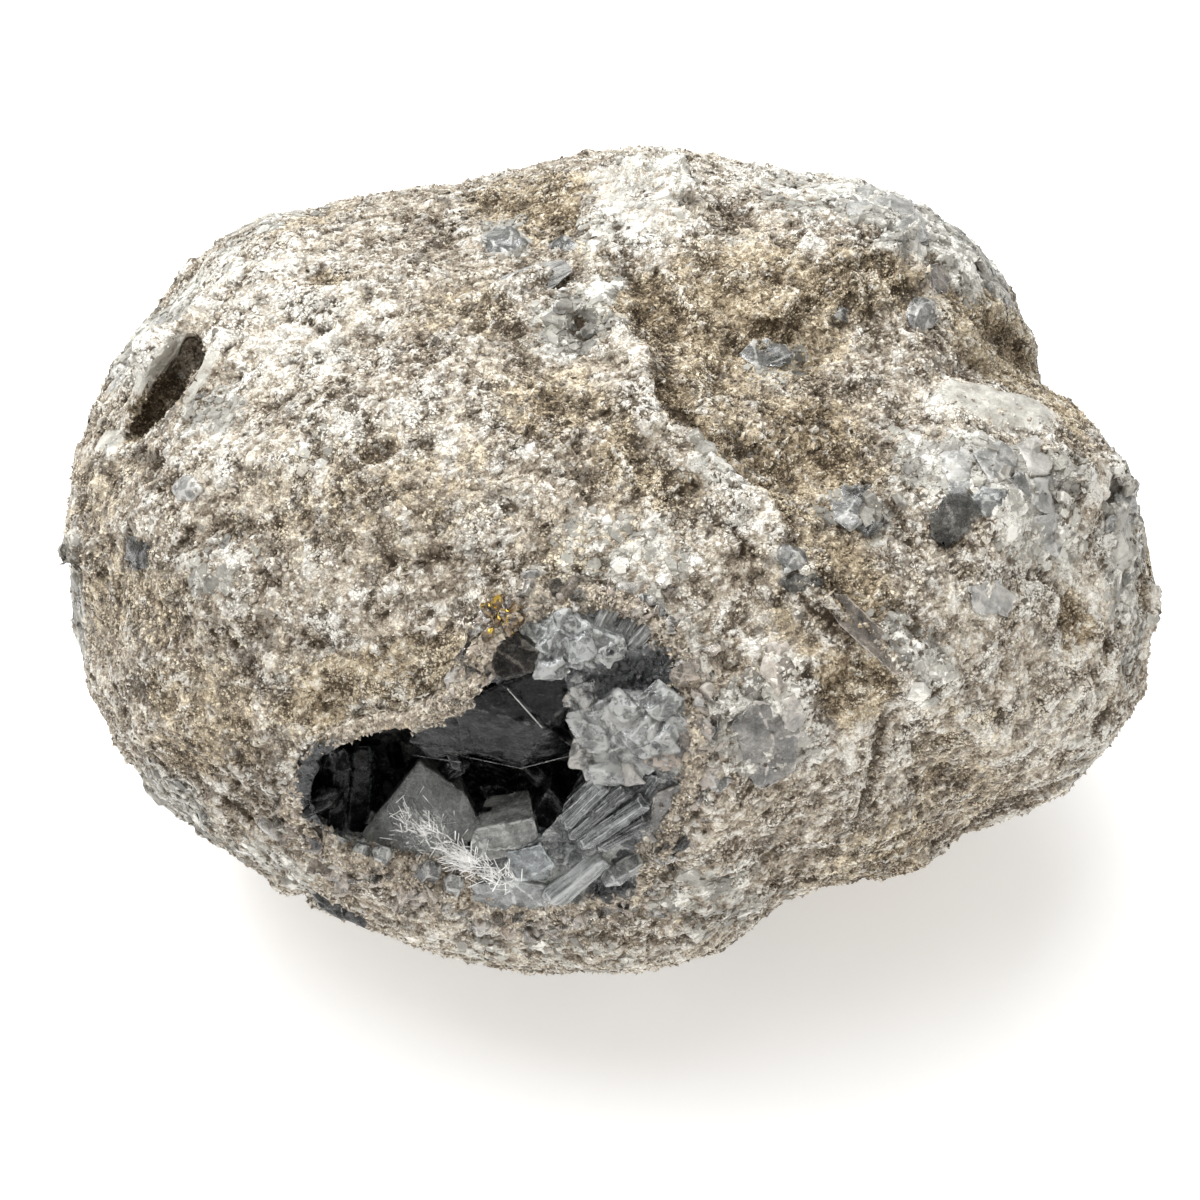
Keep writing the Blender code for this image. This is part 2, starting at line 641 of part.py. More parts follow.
def finished(obj):
    """Puts an object's Booleans into its mesh and keeps only the one large body."""
    bpy.context.view_layer.update()
    graph = bpy.context.evaluated_depsgraph_get()
    made = bmesh.new()
    made.from_mesh(obj.evaluated_get(graph).to_mesh())
    bodies = []
    left = set(made.verts)
    while left:
        body = set()
        edge = [left.pop()]
        while edge:
            vert = edge.pop()
            body.add(vert)
            near = {link.other_vert(vert) for link in vert.link_edges} & left
            left -= near
            edge.extend(near)
        bodies.append(body)
    bodies.sort(key=len)
    for body in bodies[:-1]:
        bmesh.ops.delete(made, geom=list(body), context="VERTS")
    bmesh.ops.triangulate(made, faces=made.faces)
    obj.modifiers.clear()
    made.to_mesh(obj.data)
    made.free()


def helpers(name):
    """A collection for solids that are only cut with or joined on."""
    made = bpy.data.collections.new(name)
    bpy.context.scene.collection.children.link(made)
    return made


def bed_depths(gap):
    """The depths of the rings of the bed of crystals, less a gap all round."""
    depths = [depth for depth, _ in HOLLOW_RINGS]
    depths[-1] += CRUST_WALL - gap
    return sorted([*depths, BED_DEPTH - gap, BED_DEPTH + BED_STEP - gap])


def stone(surface):
    made = nodule_mesh()
    worn_foot(made)
    nodule = object_of("stone", made)
    nodule.data.materials.append(material("matrix", (0.42, 0.38, 0.31), 0.9))
    outcrops = helpers("outer crystals")
    patch_blocks(surface, outcrops)
    for number, (start, end, width, thickness, turn) in enumerate(BEDDED):
        ends = [surface.front(right, up) + OUT * out for right, up, out in (start, end)]
        hull(f"bedded_{number}", prism_points(*ends, width, thickness, turn), outcrops)
    boolean(nodule, "UNION", outcrops)
    slot = hull("slot", [surface.behind(*corner) for corner in SLOT], helpers("slot"))
    boolean(nodule, "DIFFERENCE", slot)
    boolean(nodule, "DIFFERENCE", bag("pocket", surface, bed_depths(0.0), bed_radius(0.0)))
    return nodule


def crystal_crust(surface):
    """The bed of crystals: a shell between the matrix and the hollow, with crystals on it."""
    depths = bed_depths(SEAT_GAP)
    crust = bag("crystal_crust", surface, depths, bed_radius(SEAT_GAP))
    crust.hide_render = False
    crust.display_type = "TEXTURED"
    crust.data.materials.append(material("celestite", (0.45, 0.49, 0.50), 0.2))
    skin = object_of("crust_skin", nodule_mesh(), helper=True)
    boolean(crust, "INTERSECT", skin)
    hollow_depths = [depth for depth, _ in HOLLOW_RINGS]
    boolean(crust, "DIFFERENCE", bag("hollow", surface, hollow_depths, hollow_radius()))
    grown = helpers("pocket crystals")
    druse(surface, grown)
    cluster, *blocks = [block_points(*block, surface) for block in BLOCKS]
    cluster = hull("cluster", cluster, helpers("crystal cluster"))
    for number, block in enumerate(blocks):
        hull(f"block_{number}", block, grown)
    for number, (root, tip, *shape) in enumerate(PRISMS):
        ends = surface.behind(*root), surface.behind(*tip)
        hull(f"prism_{number}", prism_points(*ends, *shape), grown)
    boolean(cluster, "UNION", grown)
    bound = bag("bound", surface, depths, bed_radius(SEAT_GAP + GROWN_GAP))
    boolean(cluster, "INTERSECT", bound)
    boolean(crust, "UNION", cluster)
    return crust


def main():
    clear_scene()
    made = nodule_mesh()
    surface = Surface(made)
    made.free()
    stands = bpy.data.objects.new("stands", None)
    bpy.context.scene.collection.objects.link(stands)
    stands.location = (STANDS_AT[0] * MM, STANDS_AT[1] * MM, FOOT_HEIGHT * MM)
    for part in (stone(surface), crystal_crust(surface)):
        finished(part)
        part.parent = stands


main()
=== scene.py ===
import math

import bmesh
import bpy
import numpy as np
from mathutils import Euler, Matrix, Vector
from mathutils.bvhtree import BVHTree


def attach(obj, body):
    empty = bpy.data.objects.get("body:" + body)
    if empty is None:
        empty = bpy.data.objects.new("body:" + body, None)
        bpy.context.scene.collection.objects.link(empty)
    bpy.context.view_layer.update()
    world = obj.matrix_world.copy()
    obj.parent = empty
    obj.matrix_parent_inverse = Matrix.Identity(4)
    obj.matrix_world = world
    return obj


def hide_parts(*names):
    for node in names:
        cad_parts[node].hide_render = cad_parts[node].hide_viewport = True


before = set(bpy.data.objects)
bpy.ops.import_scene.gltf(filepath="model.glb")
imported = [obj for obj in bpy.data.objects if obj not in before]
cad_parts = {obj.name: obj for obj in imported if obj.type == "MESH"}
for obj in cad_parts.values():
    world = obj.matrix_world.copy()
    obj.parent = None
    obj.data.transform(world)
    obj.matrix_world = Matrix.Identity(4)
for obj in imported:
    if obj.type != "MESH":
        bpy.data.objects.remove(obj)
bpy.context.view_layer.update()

# Lengths are in millimetres. A place is (right, up, out) from the nodule's middle, as the
# camera sees it, with out towards the camera.
mm = 0.001
viewTilt = math.radians(42)
middle = np.array([0.1, -0.8, 61.2])
rightWay = np.array([1.0, 0.0, 0.0])
upWay = np.array([0.0, math.sin(viewTilt), math.cos(viewTilt)])
outWay = np.array([0.0, -math.cos(viewTilt), math.sin(viewTilt)])
viewFrame = np.stack([rightWay, upWay, outWay])


def placed(places):
    return middle + np.asarray(places, float) @ viewFrame


def viewed(points):
    return (points - middle) @ viewFrame.T


def ease(values, low=0.0, high=1.0):
    share = np.clip((values - low) / (high - low), 0, 1)
    return share * share * (3 - 2 * share)


# The camera stands where the photograph was taken from.
cameraPlan = {"distance": 600.0, "mmPerPixel": 0.1675, "pixels": 1200, "sensor": 36.0,
              "aim": (-1.68, -7.54), "clip": (0.01, 10.0)}


def makeCamera(plan):
    camera = bpy.data.objects.new("camera", bpy.data.cameras.new("camera"))
    bpy.context.scene.collection.objects.link(camera)
    camera.data.sensor_width = plan["sensor"]
    camera.data.lens = plan["distance"] / plan["mmPerPixel"] * plan["sensor"] / plan["pixels"]
    camera.data.clip_start, camera.data.clip_end = plan["clip"]
    camera.location = placed((*plan["aim"], plan["distance"])) * mm
    camera.rotation_euler = (math.pi / 2 - viewTilt, 0, 0)
    bpy.context.scene.camera = camera


makeCamera(cameraPlan)
print("camera placed")


# Patterns in space, worked out for many points at once.
cellPrimes = np.array((73856093, 19349663, 83492791))
seedPrime = 2654435761
scrambler = 0x45D9F3B
lowBits = 0xFFFFFFFF


def hashed(cells, seed, count):  # some numbers from 0 to 1 for each cell
    key = np.bitwise_xor.reduce(cells * cellPrimes, axis=-1)
    key = (key ^ (seed * seedPrime)) & lowBits
    numbers = []
    for _ in range(count):
        for _ in range(2):
            key = ((key ^ (key >> 16)) * scrambler) & lowBits
        key ^= key >> 16
        numbers.append(key / lowBits)
    return np.stack(numbers, -1)


def turned(points, seed):  # so that no pattern's rows lie level
    return points @ np.array(Euler((seed * 1.7 + 0.5, seed * 0.9 + 0.7, seed * 2.3)).to_matrix())


def softNoise(points, size, seed):  # about -1 to 1
    scaled = turned(points, seed) / size
    base = np.floor(scaled).astype(np.int64)
    part = scaled - base
    part = part * part * (3 - 2 * part)
    total = np.zeros(len(points))
    for corner in np.ndindex(2, 2, 2):
        share = np.prod(np.where(corner, part, 1 - part), axis=1)
        total += share * hashed(base + np.array(corner), seed, 1)[:, 0]
    return (total - 0.5) * 2


def layeredNoise(points, size, seed, layers=3, fade=0.5):
    total = np.zeros(len(points))
    for layer in range(layers):
        total += softNoise(points, size * 0.5**layer, seed + 17 * layer) * fade**layer
    return total


def cellPattern(points, size, seed):
    # The way from each point's nearest cell centre, and that cell's own four numbers.
    scaled = turned(points, seed) / size
    base = np.floor(scaled).astype(np.int64)
    best = np.full(len(points), 9e9)
    offset = np.zeros_like(points)
    numbers = np.zeros((len(points), 4))
    for step in np.ndindex(3, 3, 3):
        cell = base + np.array(step) - 1
        own = hashed(cell, seed, 4)
        away = scaled - (cell + own[:, :3])
        distance = np.einsum("ij,ij->i", away, away)
        closer = distance < best
        best = np.where(closer, distance, best)
        offset[closer] = away[closer]
        numbers[closer] = own[closer]
    return offset * size, numbers


def facetRelief(points, size, seed, tilt, lift):  # tilted broken faces, with steps between them
    offset, numbers = cellPattern(points, size, seed)
    height = np.einsum("ij,ij->i", offset, numbers[:, :3] * 2 - 1) * tilt
    return height + (numbers[:, 3] - 0.5) * lift


def knobRelief(points, size, seed):  # rounded lumps, one in each cell, 0 to 1
    offset, numbers = cellPattern(points, size, seed)
    away = np.linalg.norm(offset, axis=1) / (size * 0.52)
    return np.maximum(1 - away * away, 0) * (0.35 + 0.65 * numbers[:, 3])


# Meshes to and from arrays.
def meshObject(name, points, triangles, smooth=False):
    mesh = bpy.data.meshes.new(name)
    mesh.vertices.add(len(points))
    mesh.vertices.foreach_set("co", (points * mm).astype(np.float32).ravel())
    mesh.loops.add(len(triangles) * 3)
    mesh.loops.foreach_set("vertex_index", triangles.astype(np.int32).ravel())
    mesh.polygons.add(len(triangles))
    mesh.polygons.foreach_set("loop_start", np.arange(0, len(triangles) * 3, 3, dtype=np.int32))
    mesh.polygons.foreach_set("use_smooth", np.full(len(triangles), smooth))
    mesh.update(calc_edges=True)
    obj = bpy.data.objects.new(name, mesh)
    bpy.context.scene.collection.objects.link(obj)
    return obj


def meshArrays(obj):
    graph = bpy.context.evaluated_depsgraph_get()
    mesh = obj.evaluated_get(graph).to_mesh()
    mesh.calc_loop_triangles()
    points = np.empty(len(mesh.vertices) * 3, np.float32)
    mesh.vertices.foreach_get("co", points)
    triangles = np.empty(len(mesh.loop_triangles) * 3, np.int32)
    mesh.loop_triangles.foreach_get("vertices", triangles)
    return points.reshape(-1, 3).astype(float) / mm, triangles.reshape(-1, 3)


def storeValues(obj, name, values):
    layer = obj.data.attributes.new(name, "FLOAT", "POINT")
    layer.data.foreach_set("value", values.astype(np.float32))


def vertexNormals(points, triangles):
    corners = points[triangles]
    faces = np.cross(corners[:, 1] - corners[:, 0], corners[:, 2] - corners[:, 0])
    total = np.zeros_like(points)
    for corner in range(3):
        np.add.at(total, triangles[:, corner], faces)
    return total / np.maximum(np.linalg.norm(total, axis=1, keepdims=True), 1e-9)


def edgesOf(triangles):
    edges = np.concatenate([triangles[:, [0, 1]], triangles[:, [1, 2]], triangles[:, [2, 0]]])
    return np.unique(np.sort(edges, axis=1), axis=0)


def averaged(values, edges, rounds):  # each value drawn to its neighbours' mean
    count = np.bincount(edges.ravel(), minlength=len(values)).astype(float)
    count = np.maximum(count, 1).reshape((-1,) + (1,) * (values.ndim - 1))
    for _ in range(rounds):
        total = np.zeros_like(values)
        np.add.at(total, edges[:, 0], values[edges[:, 1]])
        np.add.at(total, edges[:, 1], values[edges[:, 0]])
        values = values * 0.4 + total / count * 0.6
    return values


thinLevels = 8


def remeshed(name, node, voxel, most, focus):
    # An even fine mesh of a solid, thinned away from the places that show best.
    copy = bpy.data.objects.new(name + "_rough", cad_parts[node].data.copy())
    bpy.context.scene.collection.objects.link(copy)
    step = copy.modifiers.new("fine", "REMESH")
    step.mode = "VOXEL"
    step.voxel_size = voxel * mm
    points, triangles = meshArrays(copy)
    bpy.data.objects.remove(copy)
    print(f"{name}: {len(triangles)} fine triangles")
    if len(triangles) <= most:
        return points, triangles
    fine = meshObject(name + "_fine", points, triangles)
    group = fine.vertex_groups.new(name="thin")
    weight = focus(points, vertexNormals(points, triangles))
    bins = np.clip((weight * thinLevels).round().astype(int), 1, thinLevels)
    for level in range(1, thinLevels + 1):
        group.add(np.nonzero(bins == level)[0].tolist(), level / thinLevels, "REPLACE")
    thin = fine.modifiers.new("thin", "DECIMATE")
    thin.ratio = most / len(triangles)
    thin.vertex_group = "thin"
    thin.vertex_group_factor = 1.0
    points, triangles = meshArrays(fine)
    bpy.data.objects.remove(fine)
    print(f"{name}: {len(triangles)} triangles kept")
    return points, triangles


# Where the front is sandy, crystalline or pale: (right, up, half length, half width, turn in
# degrees, strength).
zonePatches = {
    "sand": (
        (22, 37, 15.8, 12.5, 0, 1), (13, 21, 10.0, 11.6, 0, 0.8), (30, 12, 12.5, 14.1, 0, 0.8),
        (42, 42, 10.0, 6.6, 0, 0.9), (65, 33, 15.8, 6.3, -20, 1), (75, 24, 5.0, 6.6, -50, 0.8),
        (32, -7, 10.0, 10.0, 0, 0.8), (-13, 57, 11.0, 7.0, 0, 1), (-46, 44, 4.6, 2.8, 0, 0.9),
        (-73, 22, 6.5, 2.9, 46, 1), (-34, -20, 19.9, 7.5, 14, 0.95), (71, -11, 4.3, 6.3, 0, 0.8),
        (36, -19, 5.6, 6.6, 0, 0.9), (-76, -7, 13.3, 9.1, 0, 0.45), (-35, 9, 24.9, 11.6, 0, 0.4),
        (-81, 12, 7.5, 10.0, 0, 0.35), (-8, 22, 10.0, 7.6, 0, 0.6), (-23, 37, 8.3, 6.6, 0, 0.5),
        (7, 14, 8.3, 10.0, -40, 0.7), (-63, -24, 11.6, 10.0, 0, 0.55), (-2, 47, 3.3, 5.0, 0, 0.5),
        (5, 37, 6.6, 6.6, 0, 0.8), (43, -49, 13.3, 8.3, 20, 0.5), (86, 6, 2.0, 13.3, 8, 0.6),
        (-3, -1, 10.0, 6.6, 0, 0.45), (8, 69, 6.6, 2.3, 0, 0.2), (-51, 54, 10.0, 3.0, 20, 0.45),
        (-17, -14, 4.3, 3.7, 0, 0.6), (55, -34, 10.0, 10.0, 0, 0.35),
    ),
    "crystal": (
        (45, 55, 15.8, 7.0, -22, 1), (59, 46, 10.3, 6.6, -45, 0.95), (32, 59, 10.0, 6.6, 0, 0.6),
        (58, 12, 15.3, 7.6, -6, 1), (81, 4, 5.6, 15.8, 0, 0.95), (84, -14, 4.3, 8.3, 0, 0.6),
        (-74, 37, 3.7, 14.1, -32, 0.9), (-81, 34, 1.7, 11.6, -28, 0.8), (-5, 37, 6.6, 8.3, -60, 0.8),
        (-18, 51, 5.3, 3.7, 0, 0.8), (2, -1, 11.6, 7.6, -20, 0.55), (-8, -12, 11.6, 6.0, 0, 0.8),
        (-86, -7, 2.3, 13.3, 0, 0.85), (15, -54, 14.9, 6.0, -5, 0.55), (22, -27, 9.1, 8.3, 0, 0.85),
        (-71, -41, 10.0, 7.6, -30, 0.75), (-56, -49, 13.3, 5.0, -28, 0.5),
        (-12, -62, 18.3, 4.3, 0, 0.45), (15, 14, 6.6, 4.0, 0, 0.6), (27, 30, 5.6, 3.7, 0, 0.7),
        (37, 6, 7.3, 5.0, 0, 0.7), (5, 56, 6.6, 13.3, -60, 0.5), (-55, 56, 8.3, 4.0, 20, 0.5),
        (-62, 49, 5.0, 6.6, 0, 0.5), (45, -14, 11.6, 4.0, -42, 0.7), (66, 2, 10.0, 6.6, 0, 0.6),
        (-33, -44, 10.0, 5.0, 0, 0.5), (78, -34, 6.6, 8.3, 0, 0.4), (-60, -1, 6.6, 5.0, 0, 0.45),
        (-43, 17, 6.6, 4.0, 0, 0.4), (5, -14, 10.0, 10.0, 0, 0.5), (-61, 22, 5.0, 7.6, -40, 0.6),
    ),
    "pale": (
        (-51, 34, 14.1, 10.3, 0, 0.9), (-59, 46, 14.9, 7.0, 10, 0.8), (-30, 22, 19.9, 9.1, 0, 0.4),
        (5, 58, 12.5, 8.3, -50, 0.8), (16, 62, 14.9, 4.3, 0, 0.8), (59, 23, 14.6, 4.3, -10, 1),
        (66, -2, 14.1, 9.1, 0, 0.8), (56, -8, 8.3, 4.6, 0, 0.9), (35, 63, 19.9, 5.6, -6, 0.8),
        (2, 2, 8.3, 10.0, -40, 0.6), (15, 6, 6.0, 11.6, -45, 0.8), (-15, 9, 10.0, 6.6, 0, 0.55),
        (65, -25, 18.3, 11.6, 0, 0.5), (26, -18, 4.6, 10.0, -10, 0.8), (10, 52, 6.6, 6.6, 0, 0.8),
        (25, 47, 10.0, 5.0, 0, 0.4), (-38, 37, 10.0, 8.3, 0, 0.5), (-51, 12, 11.6, 6.6, 0, 0.5),
        (-27, -37, 10.0, 10.0, 0, 0.4), (-34, -19, 12.0, 5.0, 10, 0.8),
        (-38, -7, 18.3, 8.3, 0, 0.35), (49, -24, 6.6, 10.0, 0, 0.5),
        (18, -9, 6.6, 6.6, 0, 0.4), (-60, 14, 6.6, 6.6, 0, 0.6),
    ),
    # Brown patches darken the tone: a browner colour, and partly painted shade in recesses, grooves and
    # beside ridges.
    "brown": (
        (10, 20, 5.0, 12.0, 20, 0.9), (16, 12, 5.0, 10.0, -35, 0.7), (30, 17, 9.0, 5.0, 10, 0.8),
        (72, 33, 9.0, 5.0, -30, 1), (76, 25, 3.5, 6.0, -30, 0.8), (33, -8, 5.0, 7.0, 40, 0.8),
        (30, -20, 5.0, 8.0, 20, 0.7), (71, -10, 4.0, 7.0, 30, 0.9), (-69, 28, 7.5, 2.6, 52, 0.5),
        (-71.5, 23, 6.5, 3.6, 46, 0.8), (-60, -35, 13.0, 9.0, -30, 1.3),
        (-46, 44, 4.0, 2.4, 0, 0.7), (-14, 58, 10.0, 5.0, 10, 0.9), (-60, -2, 10.0, 3.0, 30, 0.4),
        (-35, 14, 6.0, 3.0, 20, 0.6), (-50, 3, 8.0, 4.0, 0, 0.5), (55, -46, 22.0, 3.0, 28, 0.8),
        (-66, -44, 20.0, 4.0, -40, 0.5), (-5, 34, 7.0, 3.0, -30, 0.5), (45, 48, 7.0, 3.0, -20, 0.5),
        (-28, 10, 14.0, 7.0, 10, 0.5), (5, 62, 3.0, 3.0, 0, 0.2), (28, 16, 14.0, 6.0, 0, 1.3),
        (-58, -32, 8.0, 5.0, -30, 0.4), (0, 12, 3.0, 4.0, 0, 0.6), (42, 3, 12.0, 2.6, -10, 0.5),
    ),
    "raised": (
        (-2, 50, 12, 3.0, -85, 1.0), (2, 28, 10, 4.5, -70, 1.2), (10, 16, 7, 4.2, -35, 1.2),
        (20, 6, 8, 4.2, -50, 1.2), (30, -8, 9, 4.0, -55, 1.0), (60, 22.5, 12, 3.5, -12, 1.2),
        (65, -8, 5, 3.0, 0, 1.2), (25, -21, 8, 3.0, 80, 1.3), (-51, 34, 14, 9.0, 0, 0.8),
        (-14, 14, 4, 2.5, 20, 0.9), (-24, 31, 5, 3.0, 0, 0.7), (47, 6, 4, 3.0, 0, 0.7),
        (4, -3, 6, 4.0, -20, 0.9), (-34, 21, 5, 3.0, 10, 0.7), (37, -33, 9, 2.0, 84, 0.9),
        (44, -32, 9, 2.0, 80, 0.9), (52, 50, 9, 3.0, -35, 0.8), (-62, 12, 5, 4.0, 0, 0.7),
        (-81, 16.5, 4, 2.6, 0, 0.8), (-72.5, 31, 7, 2.4, 56, 2.8), (-20, 48, 4, 3.0, 0, 0.6),
        (15, 59, 7, 3.0, 0, 0.6), (74, -20, 5, 6.0, 0, 0.7),
    ),
    "sunk": (
        (7.5, 37, 8, 3.5, -70, 1.4), (10, 24, 9, 3.5, -55, 2.0), (22, 13, 8, 3.0, -30, 1.5),
        (28, 37, 14, 9.0, 0, 0.7), (70, 32, 10, 3.5, -30, 2.4), (-34, 15, 3, 1.8, 20, 1.8),
        (-47, 44, 4, 2.4, -20, 1.0), (58, -45, 26, 1.6, 28, 1.3), (33, -9, 5, 4.0, -40, 1.4),
        (71, -11, 3, 5.0, 20, 1.2), (40, -33, 9, 1.4, 82, 1.0), (-3, 35, 4, 2.5, -40, 1.2),
        (-8, 22, 4, 2.5, 0, 0.9), (-60, 3, 7, 2.5, 10, 1.0), (-28, -1, 8, 2.0, 5, 0.7),
        (33, -23, 6, 3.0, 75, 1.0), (18, -14, 6, 3.0, 70, 1.0), (-22, 57, 7, 2.0, 10, 0.6),
        (56, 40, 5, 2.5, -40, 1.0), (-67.5, 29, 7.5, 1.9, 52, 0.5),
        (-71.5, 23, 6.5, 3.0, 46, 1.0), (-90, 0.5, 4.0, 3.0, 88, 1.3), (85, -10, 18, 1.0, 87, 0.8),
        (-70, 12, 5, 2.5, -30, 0.8),
    ),
    "smooth": (
        (-71, 29.5, 7.5, 1.8, 52, 0.8), (-77, 33, 9.5, 1.4, 59, 1), (60, 22.7, 11.5, 3.8, -12, 0.9),
        (80, 1, 6.0, 2.6, 85, 0.9), (-89, 9.6, 4.5, 1.5, 88, 1), (-79.5, 18, 2.6, 2.2, 0, 1),
        (3, 57, 9.0, 5.5, -50, 0.55), (-64, 27, 6.5, 1.3, 60, 0.8), (88.5, 0, 5.5, 1.3, 88, 0.8),
        (-27, -24, 8.0, 1.6, 20, 0.6), (25, 55, 8.0, 3.0, 10, 0.4),
    ),
    "slate": (
        (-77, 33, 9.0, 1.2, 59, 0.8), (-68.5, 21.5, 6.0, 0.8, 60, 0.6), (88.5, 0, 5.0, 1.2, 88, 0.8),
        (-89, 9.6, 3.6, 1.0, 88, 0.5), (80, 4, 2.5, 1.8, 85, 0.4), (-47, 23, 5.0, 3.0, 30, 0.3),
        (-3, 52, 5.0, 2.0, 80, 0.35), (-66, 0, 8.0, 3.0, 40, 0.3), (-24, -17, 12.0, 3.0, 8, 0.3),
    ),
    "streaked": (  # the turn is also the way that the lines run
        (49, -21, 14.0, 8.0, -42, 1), (37, -36, 15.0, 10.0, 82, 0.8), (83, -11, 30.0, 5.0, 86, 1),
        (58, -44, 28.0, 7.0, 28, 1), (-2, -62, 28.0, 5.0, 2, 0.7), (-63, -46, 28.0, 8.0, -40, 0.7),
        (-87, -4, 20.0, 4.0, 88, 0.8), (-75, 33, 14.0, 6.0, 55, 0.7), (0, 46, 12.0, 5.0, -75, 0.8),
        (22, -24, 14.0, 6.0, -65, 0.5), (8, 10, 16.0, 4.0, -50, 0.6), (62, 23, 14.0, 5.0, -12, 0.7),
        (-30, -50, 20.0, 6.0, -20, 0.6),
    ),
}


def patchStrength(places, rows):
    strength = np.zeros(len(places))
    for right, up, halfLength, halfWidth, turn, amount in rows:
        turn = math.radians(turn)
        across = places[:, 0] - right
        along = places[:, 1] - up
        lengthwise = (across * math.cos(turn) + along * math.sin(turn)) / halfLength
        sideways = (along * math.cos(turn) - across * math.sin(turn)) / halfWidth
        inside = ease(np.hypot(lengthwise, sideways), 1.25, 0.55) * amount
        strength = np.maximum(strength, inside)
    return strength


def patchSum(places, rows):
    return sum(patchStrength(places, (row,)) for row in rows)


def rockZones(points, normals):
    # How sandy, crystalline, pale and so on the rock is at each point, from 0 to 1, and how much
    # its form rises. The back has no patches and gets blotches instead.
    places = viewed(points)
    wander = np.stack([layeredNoise(points, 9.0, seed) for seed in (41, 42)], -1) * 2.6
    places[:, :2] += wander
    front = ease(normals @ outWay + places[:, 2] * 0.004, -0.25, 0.15)
    blotch = layeredNoise(points, 26.0, 51)
    behind = {"sand": ease(blotch, -0.1, 0.6) * 0.9,
              "crystal": ease(layeredNoise(points, 21.0, 52), 0.05, 0.6),
              "pale": ease(-blotch, -0.1, 0.7) * 0.6}
    zones = {}
    for zone, rear in behind.items():
        zones[zone] = patchStrength(places, zonePatches[zone]) * front + rear * (1 - front)
    brown = patchStrength(places, zonePatches["brown"]) * front
    brown += ease(layeredNoise(points, 14.0, 53), 0.1, 0.9) * (0.5 - front * 0.25)
    places[:, :2] -= wander * 0.8
    for zone in ("smooth", "slate"):
        zones[zone] = patchStrength(places, zonePatches[zone]) * front
    raised, sunk = (patchSum(places, zonePatches[zone]) * front for zone in ("raised", "sunk"))
    # Raised forms turn paler and sunk ones browner: partly painted light and painted shade.
    zones["sand"] *= 1 - 0.75 * np.clip(raised, 0, 1)
    zones["pale"] = np.clip(zones["pale"] + 0.45 * np.clip(raised, 0, 1), 0, 1)
    zones["brown"] = np.clip(brown + 0.5 * np.clip(sunk, 0, 1), 0, 1.4)
    formed = raised - sunk
    knobby = np.clip(formed * 0.9, 0, 1) + zones["pale"] * 0.3 * (1 - zones["sand"])
    return zones, formed, np.clip(knobby, 0, 1)


def streakLines(points):  # lines that run along the streaked patches, about -1 to 1
    places = viewed(points)
    total = np.zeros(len(points))
    for number, row in enumerate(zonePatches["streaked"]):
        turn = math.radians(row[4])
        lengthwise = places[:, 0] * math.cos(turn) + places[:, 1] * math.sin(turn)
        sideways = places[:, 1] * math.cos(turn) - places[:, 0] * math.sin(turn)
        lines = np.stack([lengthwise * 0.13, sideways, places[:, 2] * 0.6], -1)
        share = patchStrength(places, (row,)) * ease(places[:, 2], -15, 5)
        total += layeredNoise(lines, 1.7, 400 + number * 5, 2) * share
    return total


